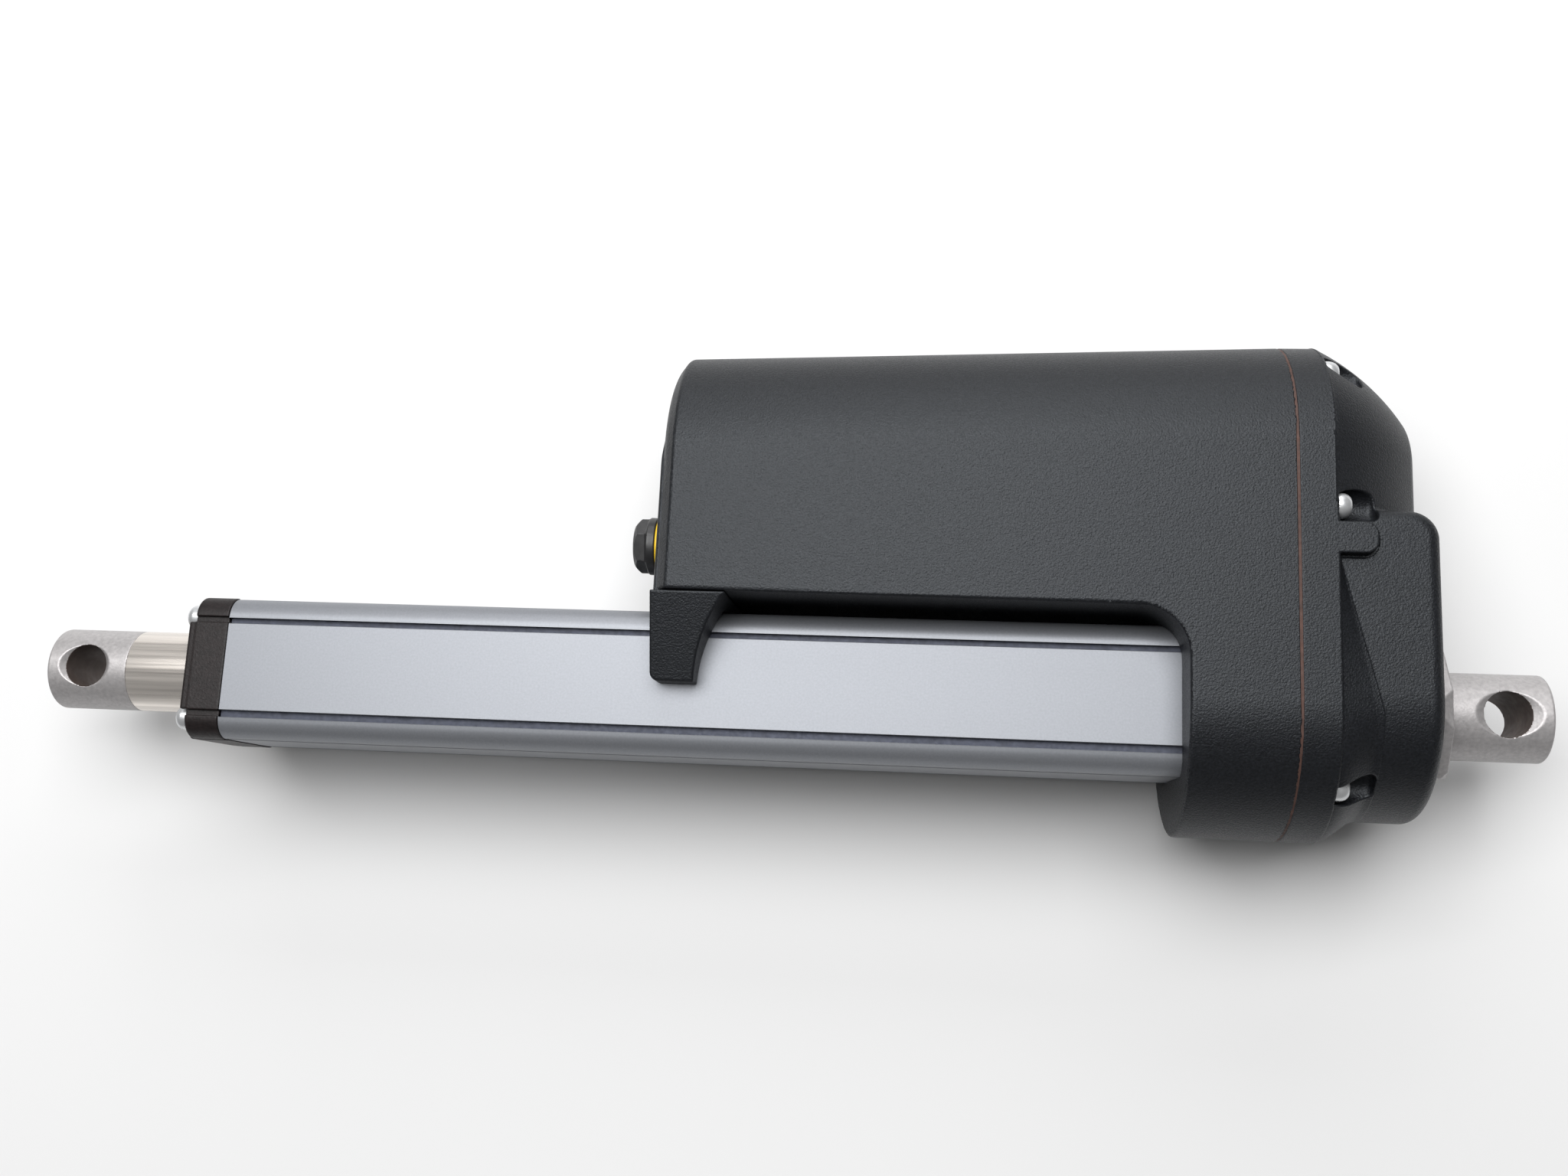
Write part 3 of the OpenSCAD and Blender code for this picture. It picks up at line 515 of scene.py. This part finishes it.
FRONT_FLARE, REAR_FLARE = 1.0, 1.5
EYE_SPIGOT_R, MOUNT_SPIGOT_R = 9.4, 12.4
HEX_THICKNESS = 6.3
HEX_CORNER_CUT = 1.2
COS_30 = math.cos(math.radians(30))


def hexagon(u, v, half):
    """Distance to a hexagon with flats at u = half and u = -half."""
    slanted = 0.5 * np.abs(u) + COS_30 * np.abs(v)
    return np.maximum(np.abs(u), slanted) - half


def eye_bore(x, y, z, pin_x, flare):
    """Pin hole with a countersink at both ends, which widens by flare for each unit of depth."""
    r = np.hypot(x - pin_x, y)
    cone_z = math.sqrt(ROD_R ** 2 - PIN_R ** 2) + 0.15
    cone = (r - PIN_R - flare * (np.abs(z) - cone_z)) / math.hypot(1, flare)
    return np.minimum(r - PIN_R, cone)


def rod_eye_field(x, y, z):
    body = keep_both(np.hypot(y, z) - ROD_R, eye_low[0] - x, 0.8)
    body = keep_both(body, x - rod_low[0] + 0.05, 0.25)
    spigot = np.hypot(y, z) - EYE_SPIGOT_R
    spigot = np.maximum(spigot, between(x, rod_low[0] - 2, eye_high[0]))
    body = np.minimum(body, spigot)
    return cut(body, eye_bore(x, y, z, eye_low[0] + EYE_END, FRONT_FLARE), 0.25)


def rear_mount_field(x, y, z):
    hex_end = COVER_X + HEX_THICKNESS
    barrel = keep_both(np.hypot(y, z) - ROD_R, x - mount_high[0], 0.8)
    barrel = np.maximum(barrel, COVER_X - x)
    half = (mount_high[1] - mount_low[1]) / 2
    flats = keep_both(hexagon(y, z, half), between(x, COVER_X, hex_end), 0.6)
    corner = (np.hypot(y, z) + 0.6 * (x - hex_end) - mount_high[2] + HEX_CORNER_CUT) * 0.85
    flats = np.maximum(flats, corner)
    body = join(barrel, flats, 0.8)
    spigot = np.hypot(y, z) - MOUNT_SPIGOT_R
    spigot = np.maximum(spigot, between(x, mount_low[0], COVER_X + 1))
    body = np.minimum(body, spigot)
    return cut(body, eye_bore(x, y, z, 0, REAR_FLARE), 0.25)


PLUG_TURN = math.radians(15)
PLUG_HALF, PLUG_FRONT, PLUG_NOSE_R, PLUG_DISH_R = 7, 1.4, 6.4, 4.2
CONNECTOR_FLANGE_R, CONNECTOR_SHANK_R, CONNECTOR_SHANK = 8.5, 5, 9
THREAD_PITCH, THREAD_DEPTH, INLET_R = 1.5, 0.35, 7
MOAT_INNER_R, MOAT_OUTER_R = 3.4, 5.6
PIN_SPACING, CONTACT_R = 1.5, 0.7


def connector_shank(x, r):
    """Threaded end of a connector, which runs through the front plate."""
    length = between(x, PLATE_FACE_X - 2, PLATE_FACE_X + CONNECTOR_SHANK)
    return np.maximum(r - CONNECTOR_SHANK_R, length)


def plug_field(x, y, z):
    dy, dz = y - SOCKET_Y, z - SOCKET_Z
    u = dy * math.cos(PLUG_TURN) + dz * math.sin(PLUG_TURN)
    v = dz * math.cos(PLUG_TURN) - dy * math.sin(PLUG_TURN)
    r = np.hypot(dy, dz)
    front = plug_low[0] + PLUG_FRONT
    head = keep_both(hexagon(v, u, PLUG_HALF), front - x, 0.4)
    head = np.maximum(head, (r - PLUG_NOSE_R - (x - front) * 1.1) * 0.67)
    head = np.maximum(head, x - (PLATE_FACE_X - 3))
    dish = np.maximum(r - PLUG_DISH_R, x - (front + 0.5))
    head = cut(head, dish, 0.3)
    flange_x = between(x, PLATE_FACE_X - 4.1, PLATE_FACE_X - 1.4)
    flange = keep_both(r - CONNECTOR_FLANGE_R, flange_x, 0.5)
    return np.minimum(join(head, flange, 0.6), connector_shank(x, r))


def inlet_field(x, y, z):
    dy, dz = y - SOCKET_Y, z + SOCKET_Z
    r = np.hypot(dy, dz)
    flange_x = between(x, PLATE_FACE_X - 3, PLATE_FACE_X - 1.4)
    flange = keep_both(r - CONNECTOR_FLANGE_R, flange_x, 0.4)
    phase = ((x - inlet_low[0]) % THREAD_PITCH) / THREAD_PITCH
    thread = THREAD_DEPTH * np.abs(2 * phase - 1)
    barrel = keep_both((r - INLET_R + thread) * 0.8, inlet_low[0] - x, 0.5)
    barrel = np.maximum(barrel, x - (PLATE_FACE_X - 2))
    body = join(flange, barrel, 0.3)
    moat = np.maximum(between(r, MOAT_INNER_R, MOAT_OUTER_R), x - (PLATE_FACE_X - 3.2))
    body = cut(body, moat, 0.2)
    contacts = np.hypot(np.abs(dy) - PIN_SPACING, np.abs(dz) - PIN_SPACING) - CONTACT_R
    body = cut(body, np.maximum(contacts, x - (PLATE_FACE_X - 4)), 0.1)
    return np.minimum(body, connector_shank(x, r))


DOME_HEAD_H = 4.7
HEAD_R, SHANK_R, SHANK_GROW = 3.7, 1.95, 0.05
KEY_HALF, KEY_DEPTH_X = 1.25, -2.6
PAN_HEAD_H, PAN_CROWN_R, PAN_CROWN_X = 4.2, 6.18, -2.0
WING_HALF, WING_LENGTH, WING_FLOOR_X = 0.45, 2.2, 2.0
DOME_SCREW_LENGTH, PAN_SCREW_LENGTH = 24, 22


def dome_screw_field(x, y, z):
    """Round head with a hexagon socket, standing on the plane x = 0 and pointing to -X."""
    r = np.hypot(y, z)
    head = np.maximum(keep_both(r - HEAD_R, -DOME_HEAD_H - x, 2.4), x)
    head = cut(head, np.maximum(hexagon(y, z, KEY_HALF), x - KEY_DEPTH_X), 0.12)
    shank = np.maximum(r - SHANK_R, between(x, -1, 20))
    return np.minimum(head, shank)


def pan_screw_field(x, y, z):
    """Pan head with a cross recess, standing on the plane x = 0 and pointing to +X."""
    r = np.hypot(y, z)
    crown = np.hypot(x - PAN_CROWN_X, r) - PAN_CROWN_R
    head = keep_both(r - HEAD_R, crown, 1.6)
    head = np.maximum(head, -x)
    depth = PAN_HEAD_H - x
    recess = r - 1.0 + depth * 0.3
    for across, along in ((np.abs(y), np.abs(z)), (np.abs(z), np.abs(y))):
        wing = np.maximum(across - WING_HALF, along - WING_LENGTH + depth * 0.5)
        recess = np.minimum(recess, wing)
    head = cut(head, np.maximum(recess, WING_FLOOR_X - x), 0.1)
    shank = np.maximum(r - SHANK_R, between(x, -20, 1))
    return np.minimum(head, shank)


# ---------------------------------------------------------------- turned and extruded pieces
def arc_points(u, v, r, a0, a1, n):
    """n + 1 points on an arc round (u, v), from a0 to a1 degrees."""
    angles = np.radians(np.linspace(a0, a1, n + 1))
    return [(u + r * math.cos(a), v + r * math.sin(a)) for a in angles]


def lathe(name, profile, y=0.0, z=0.0, segments=128):
    """Mesh turned round an axis along X; the profile is a closed list of (x, radius)."""
    n = len(profile)
    angles = np.linspace(0, 2 * math.pi, segments, endpoint=False)
    verts = [(px, y + pr * math.cos(a), z + pr * math.sin(a)) for a in angles for px, pr in profile]
    faces = []
    for s in range(segments):
        for i in range(n):
            j, t = (i + 1) % n, (s + 1) % segments
            faces.append((s * n + i, t * n + i, t * n + j, s * n + j))
    return new_mesh(name, verts, faces)


def ring_profile(x0, x1, inner, outer, r):
    """Section of a ring with rounded edges, as (x, radius) points."""
    points = arc_points(x1 - r, outer - r, r, 90, 0, 4) + arc_points(x1 - r, inner + r, r, 0, -90, 4)
    points += arc_points(x0 + r, inner + r, r, 270, 180, 4) + arc_points(x0 + r, outer - r, r, 180, 90, 4)
    return points


def tube_outline():
    """Section of the square tube as (y, z) points, with softened grooves on all four flats."""
    half, w, depth, soft = TUBE_HALF, 1.05, 1.7, 0.15
    flat = []
    for g in (-GROOVE_Y, GROOVE_Y):
        flat += [(half, g - w - soft), (half - 0.08, g - w - 0.1), (half - soft, g - w)]
        flat += [(half - depth, g - w), (half - depth, g + w)]
        flat += [(half - soft, g + w), (half - 0.08, g + w + 0.1), (half, g + w + soft)]
    flat += arc_points(half - TUBE_CORNER, half - TUBE_CORNER, TUBE_CORNER, 0, 90, 14)[1:]
    outline = []
    for turn in range(4):
        c, s = round(math.cos(turn * math.pi / 2)), round(math.sin(turn * math.pi / 2))
        outline += [(c * u - s * v, s * u + c * v) for u, v in flat]
    return outline


def extrude(name, outer, inner, x0, x1, bevel):
    """Bar along X between two outlines with the same number of (y, z) points, its ends bevelled."""
    outer, inner = np.array(outer), np.array(inner)
    n = len(outer)
    shrink = 1 - bevel / np.abs(outer).max()
    rings = [(x0, inner), (x0, outer * shrink), (x0 + bevel, outer),
             (x1 - bevel, outer), (x1, outer * shrink), (x1, inner)]
    verts = [(x, y, z) for x, ring in rings for y, z in ring]
    faces = []
    for r in range(len(rings)):
        s = (r + 1) % len(rings)
        for i in range(n):
            j = (i + 1) % n
            faces.append((r * n + i, s * n + i, s * n + j, r * n + j))
    return new_mesh(name, verts, faces)


def spread(name, meshes, spots):
    """One mesh with a copy of the given meshes at each spot, in millimetres."""
    verts, faces = [], []
    for spot in spots:
        for mesh in meshes:
            points = np.zeros(len(mesh.vertices) * 3)
            mesh.vertices.foreach_get("co", points)
            start = sum(len(v) for v in verts)
            verts.append(points.reshape(-1, 3) / MM + np.array(spot))
            faces += [tuple(start + v for v in polygon.vertices) for polygon in mesh.polygons]
    mesh = bpy.data.meshes.new(name)
    mesh.from_pydata((np.concatenate(verts) * MM).tolist(), [], faces)
    mesh.shade_smooth()
    mesh.set_sharp_from_angle(angle=math.radians(42))
    mesh.update()
    return mesh


# ---------------------------------------------------------------- materials
def shader(name, colour, metallic, rough, mottle=0.06, spot=120.0, stretch=(1, 1, 1),
           rough_var=0.08, grain=1500.0, bump=0.15, depth=0.00004, specular=0.5,
           tint=(1, 1, 1)):
    """Finish whose colour, roughness and relief vary with noise at their own scales."""
    material = bpy.data.materials.new(name)
    material.use_nodes = True
    nodes, links = material.node_tree.nodes, material.node_tree.links
    surface = nodes["Principled BSDF"]
    surface.inputs["Metallic"].default_value = metallic
    surface.inputs["Specular Tint"].default_value = (*tint, 1)
    surface.inputs["Specular IOR Level"].default_value = specular
    place_node = nodes.new("ShaderNodeTexCoord")
    mapping = nodes.new("ShaderNodeMapping")
    mapping.inputs["Scale"].default_value = stretch
    links.new(place_node.outputs["Object"], mapping.inputs["Vector"])

    def noise(scale, detail):
        node = nodes.new("ShaderNodeTexNoise")
        node.inputs["Scale"].default_value = scale
        node.inputs["Detail"].default_value = detail
        links.new(mapping.outputs["Vector"], node.inputs["Vector"])
        return node.outputs["Fac"]

    ramp = nodes.new("ShaderNodeValToRGB")
    ramp.color_ramp.elements[0].position = 0.3
    ramp.color_ramp.elements[1].position = 0.7
    ramp.color_ramp.elements[0].color = [c * (1 - mottle) for c in colour] + [1]
    ramp.color_ramp.elements[1].color = [min(c * (1 + mottle), 1) for c in colour] + [1]
    links.new(noise(spot, 4), ramp.inputs["Fac"])
    links.new(ramp.outputs["Color"], surface.inputs["Base Color"])
    gloss = nodes.new("ShaderNodeMapRange")
    gloss.inputs["From Min"].default_value = 0.3
    gloss.inputs["From Max"].default_value = 0.7
    gloss.inputs["To Min"].default_value = rough - rough_var
    gloss.inputs["To Max"].default_value = rough + rough_var
    links.new(noise(spot * 2.3, 3), gloss.inputs["Value"])
    links.new(gloss.outputs["Result"], surface.inputs["Roughness"])
    relief = nodes.new("ShaderNodeBump")
    relief.inputs["Strength"].default_value = bump
    relief.inputs["Distance"].default_value = depth
    links.new(noise(grain, 2), relief.inputs["Height"])
    links.new(relief.outputs["Normal"], surface.inputs["Normal"])
    return material


# Each finish: colour, metallic, roughness, strength and fineness of the colour variation
ALONG_X = (0.02, 1, 1)
ACROSS_X = (1, 0.05, 0.05)
LOOKS = {
    "case": shader("case_paint", (0.006, 0.0065, 0.008), 0, 0.45, 0.55, 1500, rough_var=0.12, specular=0.36,
                   grain=1900, bump=1.0, depth=0.00017, tint=(0.9, 0.95, 1.0)),
    "gasket": shader("gasket_rubber", (0.06, 0.027, 0.019), 0, 0.7, 0.3, 300),
    "zinc": shader("zinc", (0.62, 0.63, 0.64), 0.7, 0.34, 0.05, 240),
    "eye_casting": shader("satin_steel", (0.40, 0.385, 0.385), 0.5, 0.46, 0.12, 900, grain=1600,
                          bump=0.4, depth=0.00008),
    "anodised_tube": shader("anodised", (0.232, 0.242, 0.262), 0.6, 0.47, 0.05, 1600,
                            rough_var=0.03, grain=2600, bump=0.1),
    "cap_casting": shader("cap_paint", (0.009, 0.006, 0.006), 0, 0.5, 0.4, 900, bump=0.7, specular=0.3,
                          depth=0.0001),
    "seal_rubber": shader("black_rubber", (0.012, 0.012, 0.012), 0, 0.62, 0.25, 400),
    "bush_plastic": shader("bush_plastic", (0.62, 0.57, 0.42), 0, 0.45, 0.06, 200),
    "black_steel": shader("black_steel", (0.02, 0.02, 0.022), 0.5, 0.42, 0.2, 300),
    "black_nylon": shader("black_nylon", (0.014, 0.014, 0.015), 0, 0.38, 0.2, 250, bump=0.3),
    "yellow_seal": shader("yellow_silicone", (0.85, 0.55, 0.02), 0, 0.5, 0.08, 300),
    "board": shader("circuit_board", (0.012, 0.12, 0.045), 0, 0.4, 0.2, 500),
    "gear_plate": shader("cast_zinc", (0.45, 0.46, 0.48), 0.8, 0.5, 0.1, 300, bump=0.4),
    "bearing_steel": shader("bearing_steel", (0.6, 0.61, 0.63), 1, 0.2, 0.05, 300, ACROSS_X),
    "screw_steel": shader("ground_steel", (0.4, 0.41, 0.43), 1, 0.3, 0.08, 300, ACROSS_X),
    "motor_steel": shader("motor_steel", (0.35, 0.36, 0.38), 0.9, 0.42, 0.1, 200),
    "magnet": shader("ferrite", (0.05, 0.05, 0.055), 0, 0.6, 0.2, 500, bump=0.4),
    "phenolic": shader("phenolic", (0.13, 0.055, 0.025), 0, 0.5, 0.2, 300),
    "carbon": shader("carbon", (0.03, 0.03, 0.032), 0.2, 0.5, 0.2, 500),
    "copper": shader("copper_wire", (0.65, 0.25, 0.1), 0.9, 0.35, 0.12, 60, ACROSS_X,
                     grain=900, bump=0.5),
    "gear_steel": shader("gear_steel", (0.5, 0.51, 0.53), 1, 0.32, 0.06, 300),
    "gear_plastic": shader("acetal", (0.75, 0.71, 0.58), 0, 0.42, 0.04, 200),
    "polished_rod": shader("polished_rod", (0.74, 0.69, 0.64), 0.8, 0.32, 0.25, 420, ALONG_X,
                           grain=700, bump=0.4, depth=0.00004),
    "bronze": shader("bronze", (0.5, 0.33, 0.12), 1, 0.35, 0.1, 300, ACROSS_X),
}


def show(name, mesh, node, body, slot):
    """Puts a mesh in the scene with the finish of its slot."""
    return place(name, mesh, node, body, LOOKS[slot])


# Dark finish for the floors of the tube grooves: painted shade, where the groove walls shade the floor
GROOVE_SHADE_LOOK = shader("groove", (0.05, 0.056, 0.08), 0.3, 0.6, 0.2, 400)
# Dark brownish finish for the walls inside the pin holes: painted shade for the shadow in the bores
BORE_SHADE_LOOK = shader("painted_bore_shade", (0.10, 0.075, 0.065), 0.3, 0.55, 0.15, 250)


def painted_bore_shade(piece, pin_x):
    """Gives the faces inside a pin hole a darker brownish finish: painted shade, standing in for the shadow
    inside the hole.
    """
    piece.data.materials.append(BORE_SHADE_LOOK)
    for face in piece.data.polygons:
        x, y, _ = face.center / MM
        if math.hypot(x - pin_x, y) < PIN_R + 0.1:
            face.material_index = 1


# ---------------------------------------------------------------- pieces
FINE = 0.16
show("housing_casting", cast("housing_casting", case_field, case_low, case_high, 0.8, 0.35),
     "motor_housing", "housing", "case")
show("cover_casting", cast("cover_casting", cover_field, cover_low, cover_high, 0.37, 0.28),
     "rear_cover", "housing", "case")
show("bracket_casting", cast("bracket_casting", bracket_field, bracket_low, bracket_high, 0.4, 0.35),
     "front_bracket", "housing", "case")
show("cap", cast("cap", cap_field, cap_low, cap_high, 0.3, 0.4),
     "front_cap", "housing", "cap_casting")
front_eye = show("front_eye", cast("front_eye", rod_eye_field, eye_low, eye_high, 0.3, 0.5),
                 "rod_eye", "rod", "eye_casting")
painted_bore_shade(front_eye, eye_low[0] + EYE_END)
rear_eye = show("rear_eye", cast("rear_eye", rear_mount_field, mount_low, mount_high, 0.35, 0.5),
                "rear_mount", "housing", "eye_casting")
painted_bore_shade(rear_eye, 0)
show("plug", cast("plug", plug_field, plug_low, plug_high, 0.2, 0.6),
     "blanking_plug", "housing", "black_nylon")
show("inlet", cast("inlet", inlet_field, inlet_low, inlet_high, 0.2, 0.6),
     "power_inlet", "housing", "black_nylon")

profile = tube_outline()
bore = []
for py, pz in profile:
    reach = math.hypot(py, pz)
    bore.append((py / reach * TUBE_BORE_R, pz / reach * TUBE_BORE_R))
tube_mesh = extrude("square_tube", profile, bore, tube_low[0], tube_high[0], 0.25)
tube_mesh.set_sharp_from_angle(angle=math.radians(28))
square_tube = show("square_tube", tube_mesh, "outer_tube", "housing", "anodised_tube")
square_tube.data.materials.append(GROOVE_SHADE_LOOK)
# Faces sunk into the grooves take the painted groove shade
for face in square_tube.data.polygons:
    _, y, z = face.center / MM
    sunk = TUBE_HALF - max(abs(y), abs(z))
    if sunk > 0.3 and abs(min(abs(y), abs(z)) - GROOVE_Y) < 1.1:
        face.material_index = 1

rod_wall = ring_profile(rod_low[0], rod_high[0], 9.5, ROD_R, 0.25)
rod_mesh = lathe("sliding_rod", rod_wall, segments=192)
rod_mesh.set_sharp_from_angle(angle=math.radians(50))
show("sliding_rod", rod_mesh, "inner_tube", "rod", "polished_rod")

lip = [(wiper_low[0] + 0.5, ROD_R + 0.06), (wiper_low[0], ROD_R + 0.9), (wiper_low[0], ROD_R + 1.5),
       (wiper_low[0] + 1.2, ROD_R + 2.0), (wiper_low[0] + 0.6, wiper_high[1] - 0.5),
       (wiper_low[0] + 0.9, wiper_high[1]), (wiper_high[0], wiper_high[1]),
       (wiper_high[0], ROD_R + 0.1)]
show("wiper", lathe("wiper", lip[::-1]), "wiper_seal", "housing", "seal_rubber")

for node, side in (("plug_seal_ring", SOCKET_Z), ("inlet_seal_ring", -SOCKET_Z)):
    ring = ring_profile(ring_low[0], ring_high[0], 5.05, ring_high[1] - SOCKET_Y + 0.8, 0.45)
    show(node + "_soft", lathe(node + "_soft", ring, SOCKET_Y, side), node, "housing", "yellow_seal")

def shank_rod(name, x0, x1):
    """Plain shank of a screw along X."""
    return lathe(name, ring_profile(x0, x1, 0.01, SHANK_R + SHANK_GROW, 0.005), segments=32)


dome_head = cast("dome_head", dome_screw_field, (-DOME_HEAD_H, -4.2, -4.2), (0.5, 4.2, 4.2), FINE, 0.6)
dome_shank = shank_rod("dome_shank", 0.2, DOME_SCREW_LENGTH)
signs = [(i, j) for i in (-1, 1) for j in (-1, 1)]
corners = [(cap_low[0] + PAD_DEPTH, i * SCREW_POS, j * SCREW_POS) for i, j in signs]
show("cap_dome_screws", spread("cap_dome_screws", [dome_head, dome_shank], corners),
     "cap_screws", "housing", "zinc")

pan_head = cast("pan_head", pan_screw_field, (-0.5, -4, -4), (4.3, 4, 4), FINE, 0.6)
pan_shank = shank_rod("pan_shank", -PAN_SCREW_LENGTH, -0.2)
spots = [(FLANGE_X, sy, side * sz) for sy, sz in COVER_SCREWS for side in (-1, 1)]
show("cover_pan_screws", spread("cover_pan_screws", [pan_head, pan_shank], spots),
     "cover_screws", "housing", "zinc")

# Every CAD node that is still shown takes the finish of its slot
slot_of = {part["node"]: part["material_slot"] for part in frame["record"]["subparts"]}
for node, solid in frame["nodes"].items():
    look = LOOKS[slot_of[node]]
    solid.data.materials.clear()
    solid.data.materials.append(look)

# ---------------------------------------------------------------- floor, light and camera
FLOOR_Z = case_low[2] * MM
FLOOR_HALF = 3.0
LAMP_TARGET = Vector((-0.19, 0.03, 0))
SKY_STRENGTH = 0.15


def stage_floor():
    mesh = bpy.data.meshes.new("floor")
    half = FLOOR_HALF
    mesh.from_pydata([(-half, -half, FLOOR_Z), (half, -half, FLOOR_Z),
                      (half, half, FLOOR_Z), (-half, half, FLOOR_Z)], [], [(0, 1, 2, 3)])
    floor = bpy.data.objects.new("floor", mesh)
    bpy.context.scene.collection.objects.link(floor)
    mesh.materials.append(shader("floor_card", (0.7, 0.7, 0.7), 0, 0.9, 0.004, 3, bump=0.02,
                                 specular=0.1))


def softbox(name, at, length, width, power):
    """Area light of length by width metres, turned towards the object."""
    data = bpy.data.lights.new(name, "AREA")
    data.shape = "RECTANGLE"
    data.size = length
    data.size_y = width
    data.energy = power
    light = bpy.data.objects.new(name, data)
    bpy.context.scene.collection.objects.link(light)
    light.location = at
    light.rotation_euler = (LAMP_TARGET - Vector(at)).to_track_quat("-Z", "Y").to_euler()


stage_floor()
softbox("overhead", (-0.30, 0.36, 1.10), 1.3, 0.8, 21)
softbox("back", (-0.15, 1.45, 0.75), 1.4, 0.8, 12)
world = bpy.data.worlds.new("soft_sky")
world.use_nodes = True
world.node_tree.nodes["Background"].inputs["Color"].default_value = (1, 1, 1, 1)
world.node_tree.nodes["Background"].inputs["Strength"].default_value = SKY_STRENGTH
bpy.context.scene.world = world
bpy.context.scene.view_settings.view_transform = "Standard"

CAMERA_AT = Vector((-0.15394, -0.04826, 0.4332))
CAMERA_RIGHT = Vector((0.9930, 0.0470, -0.1080)).normalized()
CAMERA_BACK = Vector((0.1148, -0.1814, 0.9767)).normalized()
CAMERA_LENS = 33.451


def add_camera():
    data = bpy.data.cameras.new("view")
    data.sensor_width = 36
    data.lens = CAMERA_LENS
    data.clip_start = 0.01
    camera = bpy.data.objects.new("view", data)
    bpy.context.scene.collection.objects.link(camera)
    up = CAMERA_BACK.cross(CAMERA_RIGHT).normalized()
    right = up.cross(CAMERA_BACK).normalized()
    turn = Matrix((right, up, CAMERA_BACK)).transposed().to_4x4()
    camera.matrix_world = Matrix.Translation(CAMERA_AT) @ turn
    bpy.context.scene.camera = camera


add_camera()
